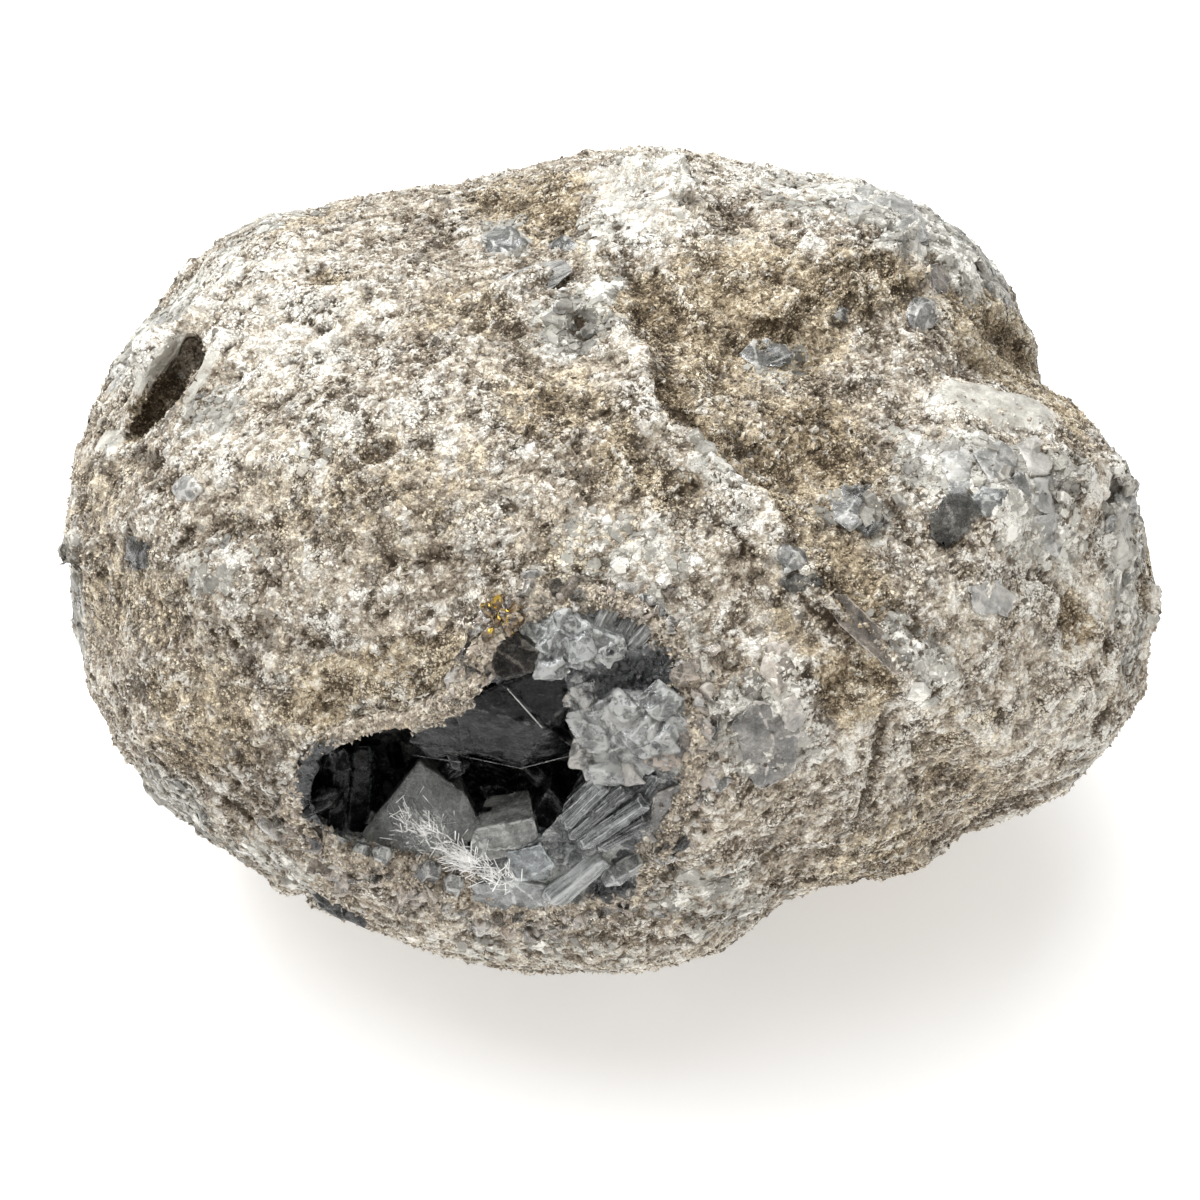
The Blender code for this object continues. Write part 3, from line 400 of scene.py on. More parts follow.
# Crystals that show in the outer rock: look, how pale, how warm, outline in (right, up), how far
# they stand out.
outerCrystals = (
    ("clear", 0.38, 0, ((20.3, 30.4), (22.4, 32.4), (26.6, 32.0), (27.6, 30.4),
        (26.2, 28.4), (22.4, 28.2)), 0.5),
    ("clear", 0.46, 0, ((46.1, 37.4), (47.5, 39.7), (50.6, 39.3), (51.1, 36.7), (49.1, 34.7),
        (46.8, 35.0)), 0.5),
    ("clear", 0.36, 0, ((34.7, 36.4), (35.5, 38.7), (37.4, 38.0), (36.9, 35.7)), 0.4),
    ("clear", 0.55, 0.5, ((50.1, 41.8), (50.8, 45.0), (53.1, 45.7), (54.0, 43.3),
        (52.8, 40.8)), 0.5),
    ("clear", 0.41, 0, ((48.5, 50.3), (49.5, 51.3), (51.1, 50.8), (50.8, 49.3),
        (49.0, 49.1)), 0.3),
    ("clear", 0.46, 0, ((32.9, 7.1), (35.2, 9.5), (37.8, 9.1), (37.5, 4.5), (35.5, 3.2),
        (33.5, 4.5)), 0.4),
    ("smoky", 0.4, 0, ((35.5, 9.1), (39.0, 9.6), (41.2, 6.1), (39.8, 3.3), (37.8, 2.2),
        (35.9, 4.2)), 0.7),
    ("smoky", 0.46, 0, ((48.1, 5.0), (50.1, 7.5), (53.1, 8.3), (55.1, 5.5), (54.0, 2.8),
        (51.1, 0.7), (49.0, 1.7)), 0.8),
    ("clear", 0.51, -0.5, ((53.5, 7.5), (55.6, 9.3), (59.4, 8.8), (58.9, 6.1),
        (56.1, 5.3)), 0.5),
    ("clear", 0.46, 0, ((24.2, -0.8), (25.9, 0.5), (28.9, -0.5), (29.2, -2.7),
        (25.9, -3.2)), 0.5),
    ("smoky", 0.34, 0, ((25.2, -5.0), (27.2, -3.3), (29.9, -3.7), (30.7, -5.3), (28.6, -6.3),
        (26.2, -6.1)), 0.6),
    ("clear", 0.36, -1, ((87.8, 3.3), (89.1, 4.2), (90.0, -0.8), (89.6, -5.1), (88.3, -4.5),
        (87.6, -0.8)), 0.3),
    ("clear", 0.60, 0, ((79.0, 8.6), (82.0, 9.3), (82.5, 6.3), (79.7, 5.8)), 0.4),
    ("clear", 0.65, 0, ((77.4, 5.0), (81.3, 5.6), (82.7, 1.7), (82.3, -3.3),
        (78.4, -3.8), (77.2, 0.8)), 0.3),
    ("ribbed", 0.72, 0, ((-18.4, 39.0), (-16.6, 42.2), (-12.5, 44.4), (-7.6, 45.4),
        (-6.6, 43.4), (-9.8, 40.4), (-14.5, 38.2)), 0.7),
    ("clear", 0.36, 0, ((-9.6, 48.6), (-7.3, 49.8), (-5.0, 48.6), (-6.3, 47.0), (-8.6, 47.1)), 0.3),
    ("smoky", 0.34, 0, ((-75.4, -0.8), (-74.4, 1.7), (-71.7, 2.2), (-69.9, 0.3),
        (-71.0, -2.3), (-73.4, -2.8)), 0.5),
    ("clear", 0.65, 0, ((-66.9, 9.1), (-66.1, 10.8), (-63.4, 11.1), (-62.6, 9.3),
        (-64.1, 7.5), (-66.1, 7.5)), 0.4),
    ("clear", 0.51, 0, ((-20.4, 50.6), (-18.6, 52.3), (-15.6, 52.0), (-14.1, 49.6),
        (-16.3, 47.3), (-19.3, 48.0)), 0.5),
    ("smoky", 0.20, 0, ((-47.8, -53.6), (-45.2, -53.3), (-42.2, -54.9), (-43.2, -58.3),
        (-45.5, -56.9)), 0.2),
    ("smoky", 0.20, 0, ((-44.0, -54.8), (-41.2, -55.9), (-38.2, -58.6), (-39.5, -59.9),
        (-42.8, -58.6)), 0.2),
    ("clear", 0.48, 0.2, ((18.6, -26.1), (21.2, -23.1), (25.2, -24.1), (27.9, -27.7),
        (26.9, -32.7), (22.9, -35.4), (19.6, -32.0)), 0.5),
    ("clear", 0.46, 0, ((-14.3, -6.1), (-13.3, -3.8), (-10.6, -3.2), (-9.5, -5.1),
        (-11.3, -7.1)), 0.5),
    ("clear", 0.5, 0.6, ((32.2, -8.5), (32.9, -6.8), (35.2, -7.5), (39.8, -11.5),
        (43.8, -15.4), (44.2, -17.4), (41.8, -18.1), (38.2, -15.1), (34.2, -11.5)), 0.35),
    ("clear", 0.80, 0, ((37.5, 55.6), (41.2, 56.9), (43.5, 54.9), (42.8, 51.0),
        (39.2, 50.3)), 0.4),
    ("clear", 0.76, 0, ((42.8, 56.6), (45.5, 57.9), (48.1, 56.9), (48.5, 54.6),
        (45.8, 52.6), (43.5, 53.6)), 0.5),
    ("clear", 0.78, 0, ((39.5, 59.6), (42.8, 60.6), (45.2, 58.9), (43.5, 56.9),
        (40.2, 56.9)), 0.4),
    ("clear", 0.72, 0, ((45.8, 52.3), (48.8, 54.3), (50.8, 52.6), (50.1, 49.6),
        (47.1, 49.3)), 0.4),
    ("clear", 0.82, 0, ((50.1, 14.8), (53.1, 15.8), (55.4, 14.4), (54.4, 11.1),
        (51.1, 10.8)), 0.4),
    ("clear", 0.70, 0, ((55.4, 14.1), (59.1, 16.1), (61.8, 14.4), (61.1, 11.5),
        (57.4, 10.5)), 0.5),
    ("clear", 0.82, 0.1, ((62.1, 16.4), (65.7, 17.8), (68.1, 15.4), (66.7, 12.1),
        (63.1, 11.8)), 0.5),
    ("clear", 0.55, 0, ((50.8, 10.1), (54.8, 10.8), (56.4, 9.1), (53.1, 8.1),
        (50.8, 8.5)), 0.4),
    ("clear", 0.60, 0, ((59.1, 10.5), (62.1, 11.5), (63.1, 8.1), (61.1, 5.1),
        (59.1, 6.8)), 0.4),
    ("clear", 0.75, 0, ((63.7, 10.5), (67.1, 11.5), (69.1, 8.8), (67.4, 5.5),
        (64.4, 6.5)), 0.4),
    ("clear", 0.70, 0, ((64.7, 4.8), (68.1, 5.8), (70.1, 2.5), (68.4, -0.8), (65.4, 0.5)), 0.4),
    ("clear", 0.80, 0, ((53.8, -5.8), (58.1, -4.8), (60.8, -6.8), (59.4, -9.5),
        (55.1, -9.5)), 0.6),
    ("clear", 0.72, 0.4, ((22.6, -14.1), (25.6, -13.4), (26.6, -17.4), (24.2, -20.8),
        (22.2, -18.1)), 0.6),
    ("clear", 0.76, 0.2, ((24.9, -22.4), (27.2, -21.4), (28.9, -24.7), (27.6, -27.4),
        (25.6, -26.1)), 0.5),
)


def surfaceOut(tree, right, up):  # how far out a surface lies, as the camera sees it
    start = placed((right, up, 200.0))
    spot = tree.ray_cast(Vector(start), Vector(-outWay))[0]
    return None if spot is None else float(viewed(np.array(spot))[2])


steepest = 1.2  # the most that an outer crystal's face leans out, as rise over run


def outerFaces(tree):
    # Each outer crystal's face: a flat outline on the rock, in view places.
    faces = []
    for kind, shade, tint, outline, lift in outerCrystals:
        outs = [surfaceOut(tree, right, up) for right, up in outline]
        outline = [place for place, out in zip(outline, outs) if out is not None]
        outs = [out for out in outs if out is not None]
        outline = np.array(outline)
        aside = outline - outline.mean(0)
        slope = np.linalg.lstsq(aside, np.array(outs) - np.mean(outs), rcond=None)[0]
        slope *= min(1.0, steepest / max(np.linalg.norm(slope), 1e-6))
        faces.append(np.column_stack([outline, np.mean(outs) + aside @ slope]))
    return faces


# The rock: the CAD stone's form with the fine relief of sand, chalk and broken crystals.
rockPlan = {
    "voxel": 0.62,
    "triangles": 196000,
    "lumps": ((13.0, 0.75), (5.5, 0.22)),
    "sandFacets": ((2.8, 0.18, 0.18), (1.3, 0.35, 0.24)),
    "chalkFacets": ((3.6, 0.14, 0.2), (1.3, 0.3, 0.2)),
    "crystalFacets": ((4.6, 0.16, 0.4), (2.2, 0.1, 0.16)),
    "streaks": 0.4,
    "pits": ((4.0, 0.4, 1.5), (2.2, 0.45, 1.2), (7.0, 0.45, 2.0)),
    "knobs": ((3.6, 1.3), (2.0, 0.7)),
    "sandLow": 0.35,
    "bounds": (-4.5, 2.8),
    "footCalm": 2.5,
    "calmRounds": (6, 34),  # for telling hollows from crests, then high ground from low
}


def rockFocus(points, normals):  # 1 where the mesh may be thinned most
    return 0.15 + 0.85 * ease(-(normals @ outWay), -0.45, 0.25)


def makeRock(plan):
    points, triangles = remeshed("noduleRock", "stone", plan["voxel"], plan["triangles"], rockFocus)
    normals = vertexNormals(points, triangles)
    edges = edgesOf(triangles)
    points = averaged(points, edges, 1)
    zones, formed, knobby = rockZones(points, normals)
    streak = streakLines(points)
    rise = np.zeros(len(points))
    for number, (size, height) in enumerate(plan["lumps"]):
        rise += layeredNoise(points, size, 11 + number, 2) * height

    def facets(rows, seed):
        total = np.zeros(len(points))
        for number, (size, tilt, lift) in enumerate(rows):
            total += facetRelief(points, size, seed + number, tilt, lift)
        return total

    sandShare = np.clip(zones["sand"] * 1.3 - zones["crystal"] * 0.3, 0, 1)
    crystalShare = zones["crystal"] * (1 - sandShare)
    rise += facets(plan["sandFacets"], 61) * sandShare
    rise += facets(plan["chalkFacets"], 71) * (1 - sandShare - crystalShare)
    rise += facets(plan["crystalFacets"], 81) * crystalShare
    rise -= sandShare * plan["sandLow"]
    for number, (size, start, depth) in enumerate(plan["pits"]):
        rise -= np.maximum(softNoise(points, size, 91 + number) - start, 0) * depth
    for number, (size, height) in enumerate(plan["knobs"]):
        rise += (knobRelief(points, size, 121 + number) - 0.35) * height * knobby
    rise *= 1 - zones["smooth"] * 0.8
    rise += streak * plan["streaks"] + formed
    rise = np.clip(rise, *plan["bounds"]) * ease(points[:, 2], 0.2, plan["footCalm"])
    points = points + normals * rise[:, None]
    points[:, 2] = np.maximum(points[:, 2], 0)
    # Hollows and low ground found here get painted shade in the rock's colour, crests and high ground
    # painted light.
    calm = averaged(points, edges, plan["calmRounds"][0])
    hollow = np.einsum("ij,ij->i", calm - points, normals)
    calm = averaged(calm, edges, plan["calmRounds"][1])
    relief = np.einsum("ij,ij->i", points - calm, normals)
    seen = ease(normals @ outWay, -0.25, 0.25)  # the coarser mesh behind gets patterns instead
    hollow = hollow * seen + layeredNoise(points, 2.6, 131, 3) * 0.16 * (1 - seen)
    relief = relief * seen + layeredNoise(points, 8.0, 135, 3) * 0.6 * (1 - seen)
    obj = meshObject("noduleRock", points, triangles)
    zones.update(streak=streak, hollow=hollow, relief=relief)
    for zone, values in zones.items():
        storeValues(obj, zone, values)
    return obj, points, triangles, zones


rock, rockPoints, rockTriangles, rockValues = makeRock(rockPlan)
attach(rock, "root")
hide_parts("stone")
print("rock made")


# Shader sockets as values: the operators add Math nodes.
class Val:
    def __init__(self, tree, socket):
        self.tree = tree
        self.socket = socket

    def node(self, kind, settings, values):
        # Any node: its settings first, then the values or links of its sockets.
        made = self.tree.nodes.new(kind)
        for name, setting in settings.items():
            if name == "stops":
                ramp = made.color_ramp
                while len(ramp.elements) < len(setting):
                    ramp.elements.new(0.5)
                for element, (position, colour) in zip(ramp.elements, setting):
                    element.position = position
                    element.color = (*colour, 1)
            else:
                setattr(made, name, setting)
        for name, value in values.items():
            if isinstance(value, Val):
                self.tree.links.new(value.socket, made.inputs[name])
            else:
                made.inputs[name].default_value = value
        return made

    def out(self, kind, settings, values, output):
        return Val(self.tree, self.node(kind, settings, values).outputs[output])

    def maths(self, operation, *values):
        return self.out("ShaderNodeMath", {"operation": operation}, dict(enumerate(values)), 0)

    def __add__(self, other):
        return self.maths("ADD", self, other)

    __radd__ = __add__

    def __sub__(self, other):
        return self.maths("SUBTRACT", self, other)

    def __rsub__(self, other):
        return self.maths("SUBTRACT", other, self)

    def __mul__(self, other):
        return self.maths("MULTIPLY", self, other)

    __rmul__ = __mul__

    def size(self):
        return self.maths("ABSOLUTE", self)

    def between(self, low, high):  # 0 below low, 1 above high, eased in between
        values = {"Value": self, "From Min": low, "From Max": high}
        return self.out("ShaderNodeMapRange", {"interpolation_type": "SMOOTHSTEP"}, values, 0)

    def ramp(self, *stops):
        return self.out("ShaderNodeValToRGB", {"stops": stops}, {0: self}, "Color")

    def vector(self, operation, *values, output=0):
        values = dict(enumerate(values))
        return self.out("ShaderNodeVectorMath", {"operation": operation}, values, output)

    def mixed(self, factor, first, second, blend="MIX"):
        settings = {"data_type": "RGBA", "blend_type": blend}
        return self.out("ShaderNodeMix", settings, {0: factor, 6: first, 7: second}, 2)

    def noise(self, scale, detail=2.0, rough=0.5):
        values = {"Vector": self, "Scale": scale, "Detail": detail, "Roughness": rough}
        return self.out("ShaderNodeTexNoise", {}, values, 0)

    def cells(self, scale, feature="F1"):
        values = {"Vector": self, "Scale": scale}
        return self.node("ShaderNodeTexVoronoi", {"feature": feature}, values)

    def cellNumbers(self, scale):
        made = self.cells(scale)
        split = self.node("ShaderNodeSeparateXYZ", {}, {0: Val(self.tree, made.outputs["Color"])})
        return [Val(self.tree, output) for output in split.outputs]

    def cellEdge(self, scale):  # how far from the nearest border between cells
        made = self.cells(scale, "DISTANCE_TO_EDGE")
        return Val(self.tree, made.outputs["Distance"])

    def warped(self, scale, amount):  # places shifted about, so that cells look irregular
        shift = self.out("ShaderNodeTexNoise", {}, {"Vector": self, "Scale": scale}, 1)
        shift = shift.vector("SUBTRACT", shift, (0.5, 0.5, 0.5))
        shift = shift.vector("MULTIPLY", shift, (amount, amount, amount))
        return self.vector("ADD", self, shift)

    def facetHeight(self, scale):  # tilted faces, one for each cell
        made = self.cells(scale)
        position = Val(self.tree, made.outputs["Position"])
        lean = Val(self.tree, made.outputs["Color"]).vector(
            "SUBTRACT", Val(self.tree, made.outputs["Color"]), (0.5, 0.5, 0.5))
        offset = self.vector("SUBTRACT", self, position)
        return self.vector("DOT_PRODUCT", offset, lean, output="Value")

    def stored(self, *names):  # what storeValues left on the mesh
        return [self.out("ShaderNodeAttribute", {"attribute_name": name}, {}, "Fac")
                for name in names]

    def bumped(self, height, strength, distance, normal=None):
        values = {"Height": height, "Strength": strength, "Distance": distance * mm}
        if normal is not None:
            values["Normal"] = normal
        return self.out("ShaderNodeBump", {}, values, "Normal")


def newMaterial(name, **plain):
    # A material, its Principled shader and the object's own coordinates in millimetres.
    made = bpy.data.materials.new(name)
    made.use_nodes = True
    tree = made.node_tree
    shader = tree.nodes["Principled BSDF"]
    for socket, value in plain.items():
        shader.inputs[socket].default_value = value
    coords = Val(tree, tree.nodes.new("ShaderNodeTexCoord").outputs["Object"])
    values = {0: coords, "Scale": 1 / mm}
    return made, shader, coords.out("ShaderNodeVectorMath", {"operation": "SCALE"}, values, 0)


def feed(shader, **values):
    for socket, value in values.items():
        name = socket.replace("_", " ")
        shader.id_data.links.new(value.socket, shader.inputs[name])


zoneNames = ("sand", "crystal", "pale", "brown", "streak", "relief")
celestiteIor = 1.62
rockLook = {
    "sand": ((0.0, (0.03, 0.02, 0.011)), (0.28, (0.16, 0.117, 0.07)),
             (0.6, (0.47, 0.385, 0.265)), (1.0, (0.86, 0.765, 0.59))),
    "chalk": ((0.0, (0.045, 0.034, 0.022)), (0.26, (0.24, 0.197, 0.148)),
              (0.6, (0.54, 0.475, 0.385)), (1.0, (0.93, 0.885, 0.79))),
    "crystal": ((0.0, (0.05, 0.047, 0.04)), (0.3, (0.23, 0.22, 0.195)),
                (0.65, (0.48, 0.465, 0.415)), (1.0, (0.84, 0.825, 0.76))),
    "slate": (0.15, 0.146, 0.14, 1),
    "grey": (0.25, 0.238, 0.215, 1),
    "powder": (0.86, 0.84, 0.78, 1),
    # painted shade for the hollows, the gaps between grains and the grains' low points
    "paintedShade": (0.045, 0.03, 0.016, 1),
    # painted light on crests
    "paintedCrestLight": (0.88, 0.86, 0.8, 1),
    "sheen": 0.25,
}


def zoneColour(look, coords, grain, flake, face, fine, patchy, glassy=0.0):
    # The colour of sand, chalk or crystal, by the zones stored on the mesh. Grain, flake and face
    # are numbers from 0 to 1 that differ from bit to bit.
    sand, crystal, pale, brown, streak, relief = coords.stored(*zoneNames)
    broad = coords.noise(0.09, 3.0)
    aside = coords.vector("ADD", coords, (37, 11, 5))
    rough = (patchy - 0.5) * 2.2 + (fine - 0.5) * 0.6
    sandShare = (sand + rough + (grain - 0.5) * 0.5).between(0.2, 0.75)
    crystalShare = (crystal + glassy * 2.0 + rough * 0.8 - sandShare * 0.3
                    + (flake - 0.5) * 0.6).between(0.4, 0.65)
    # The relief terms here paint light on high ground and shade on low ground; the brown term is partly
    # painted shade.
    common = ((patchy - 0.5) * 1.05 + (broad - 0.5) * 0.5 - brown * 0.14 + streak * 0.16
              + relief.between(-1.1, 1.1) * 0.3 - 0.11)
    sandTone = 0.6 + pale * 0.1 + (grain - 0.5) * 0.45 + (fine - 0.5) * 1.4 + common
    chalkTone = (0.43 + pale * 0.25 + (flake - 0.5) * 0.3
                 + (grain - 0.5) * 0.35 + (fine - 0.5) * 1.4 + common)
    crystalTone = (0.49 + pale * 0.25 - glassy * 0.5 + (face - 0.5) * 0.3
                   + (flake - 0.5) * 0.14 + (fine - 0.5) * 0.5 + common * (1 - glassy))
    colour = coords.mixed(
        sandShare, chalkTone.ramp(*look["chalk"]), sandTone.ramp(*look["sand"]))
    colour = coords.mixed(crystalShare, colour, crystalTone.ramp(*look["crystal"]))
    grey = (coords.noise(0.26, 4.0, 0.6) + (flake - 0.5) * 0.12).between(0.56, 0.63)
    colour = coords.mixed(grey * (0.5 - sandShare * 0.25), colour, look["grey"])
    powder = (aside.noise(0.2, 6.0, 0.75) + pale * 0.07 - sand * 0.05 + (grain - 0.5) * 0.06
              + relief * 0.03).between(0.55, 0.62)
    colour = coords.mixed(powder * 0.7, colour, look["powder"])
    return colour, sandShare, crystalShare


def rockMaterial(look):
    made, shader, coords = newMaterial("rockMatrix", **{
        "IOR": 1.5, "Specular IOR Level": look["sheen"]})
    hollow, smooth, slate, brown, relief = coords.stored(
        "hollow", "smooth", "slate", "brown", "relief")
    patchy = coords.noise(0.4, 4.0, 0.6)
    fine = coords.noise(1.9, 4.0, 0.7)
    bent = coords.warped(1.1, 1.1)
    grain = bent.cellNumbers(1.35)[0]
    gap = bent.cellEdge(1.35).between(0.02, 0.2)
    flake = bent.cellNumbers(0.9)[1]
    face = coords.warped(0.5, 1.2).cellNumbers(0.3)[2]
    colour, sandShare, crystalShare = zoneColour(
        look, coords, grain, flake, face, fine, patchy)
    crisp = coords.noise(0.17, 3.0).between(0.38, 0.6) * 0.75 + 0.25
    # Painted shade: the gaps between grains and the hollows are darkened where shade would fall.
    gapShade = (1 - gap) * fine.between(0.34, 0.58) * 0.9 * (1 - crystalShare * 0.7) * crisp
    shallow = 1 - (0 - relief).between(1.2, 2.6) * 0.6
    paintedShade = (hollow + (fine - 0.5) * 0.25).between(0.04, 0.3) * 0.9 * crisp * shallow
    colour = coords.mixed(gapShade, colour, look["paintedShade"])
    colour = coords.mixed(paintedShade, colour, look["paintedShade"])
    # Painted light: crests are paler where light would fall.
    paintedCrestLight = (0 - hollow).between(0.05, 0.3) * 0.45
    colour = coords.mixed(paintedCrestLight, colour, look["paintedCrestLight"])
    # The smooth patches darken with the brown zone, partly painted shade in the slot's trough.
    calm = (0.55 - brown * 0.3 + (patchy - 0.5) * 1.3 + (fine - 0.5) * 0.4).ramp(*look["crystal"])
    smoothShare = (smooth + (patchy - 0.5) * 1.2 + (fine - 0.5) * 0.7).between(0.4, 0.75)
    slateShare = (slate + (patchy - 0.5) * 1.3 + (fine - 0.5) * 0.6).between(0.3, 0.6)
    colour = coords.mixed(smoothShare * 0.85, colour, calm)
    colour = coords.mixed(slateShare * 0.75, colour, look["slate"])
    roughness = 0.92 - crystalShare * (0.3 + flake * 0.35) - smoothShare * 0.25
    even = smooth.between(0.4, 0.75)
    grainBump = coords.bumped(bent.facetHeight(1.35) * (1 - even), 1.0, 1.0)
    fineBump = coords.bumped(coords.noise(1.9, 2.0, 0.7) * (1 - even * 0.7), 0.8, 0.5, grainBump)
    feed(shader, Base_Color=colour, Roughness=roughness, Normal=fineBump)
    return made


rock.data.materials.append(rockMaterial(rockLook))
print("rock finished")


# Crystals: convex broken forms with softened edges, wavy faces and ribs along their length.
# Faces that meet at a flatter angle than "merged" become one.
facePlan = {"merged": 0.12, "waveSize": 3.4, "steps": (2.6, 0.12, 0.1), "ribStretch": 0.06}


def crystalForm(corners, along, plan, seed, shade=0.5, tint=0.0):
    made = bmesh.new()
    for corner in corners:
        made.verts.new(Vector(corner))
    wrapped = bmesh.ops.convex_hull(made, input=made.verts)
    spare = [part for part in wrapped["geom_interior"] if isinstance(part, bmesh.types.BMVert)]
    bmesh.ops.delete(made, geom=spare, context="VERTS")
    bmesh.ops.dissolve_limit(
        made, angle_limit=facePlan["merged"], verts=made.verts, edges=made.edges)
    if plan["bevel"]:
        narrow = bmesh.ops.bevel(made, geom=made.edges[:], offset=plan["bevel"], segments=1,
                                 affect="EDGES", clamp_overlap=True)["faces"]
        for face in narrow:
            face.material_index = 1
    for _ in range(5):
        bmesh.ops.triangulate(made, faces=made.faces)
        long = [edge for edge in made.edges if edge.calc_length() > plan["grid"]]
        if not long:
            break
        bmesh.ops.subdivide_edges(made, edges=long, cuts=1)
    bmesh.ops.triangulate(made, faces=made.faces)
    bmesh.ops.recalc_face_normals(made, faces=made.faces)
    made.verts.index_update()
    made.normal_update()
    points = np.array([vert.co for vert in made.verts])
    normals = np.array([vert.normal for vert in made.verts])
    triangles = np.array([[vert.index for vert in face.verts] for face in made.faces])
    edge = np.array([max(face.material_index for face in vert.link_faces) for vert in made.verts])
    made.free()
    along = np.array(along, float) / np.linalg.norm(along)
    side = np.cross(along, outWay)
    side /= max(np.linalg.norm(side), 1e-6)
    depth = np.cross(side, along)
    frameOf = np.stack([side, depth, along])
    lay = (points - points.mean(0)) @ frameOf.T + seed * 7.3
    size, tilt, lift = facePlan["steps"]
    rise = layeredNoise(lay, facePlan["waveSize"], seed, 2) * plan["wavy"]
    rise += facetRelief(lay, size, seed + 3, tilt, lift) * plan["steps"]
    ribs = softNoise(lay * (1, 1, facePlan["ribStretch"]), plan["ribSize"], seed + 9)
    rise += ribs * plan["ribs"]
    return {"points": points + normals * rise[:, None], "triangles": triangles, "lay": lay,
            "edge": edge, "shade": shade, "tint": tint}


def joinedForms(name, forms, smooth=True):
    start = 0
    triangles = []
    values = {layer: [] for layer in ("layAcross", "layDeep", "layAlong", "edge", "shade", "tint")}
    for form in forms:
        count = len(form["points"])
        triangles.append(form["triangles"] + start)
        for axis, layer in enumerate(("layAcross", "layDeep", "layAlong")):
            values[layer].append(form["lay"][:, axis])
        values["edge"].append(form["edge"])
        values["shade"].append(np.full(count, form["shade"]))
        values["tint"].append(np.full(count, form["tint"]))
        start += count
    points = np.concatenate([form["points"] for form in forms])
    obj = meshObject(name, points, np.concatenate(triangles), smooth)
    for layer, parts in values.items():
        storeValues(obj, layer, np.concatenate(parts))
    return obj


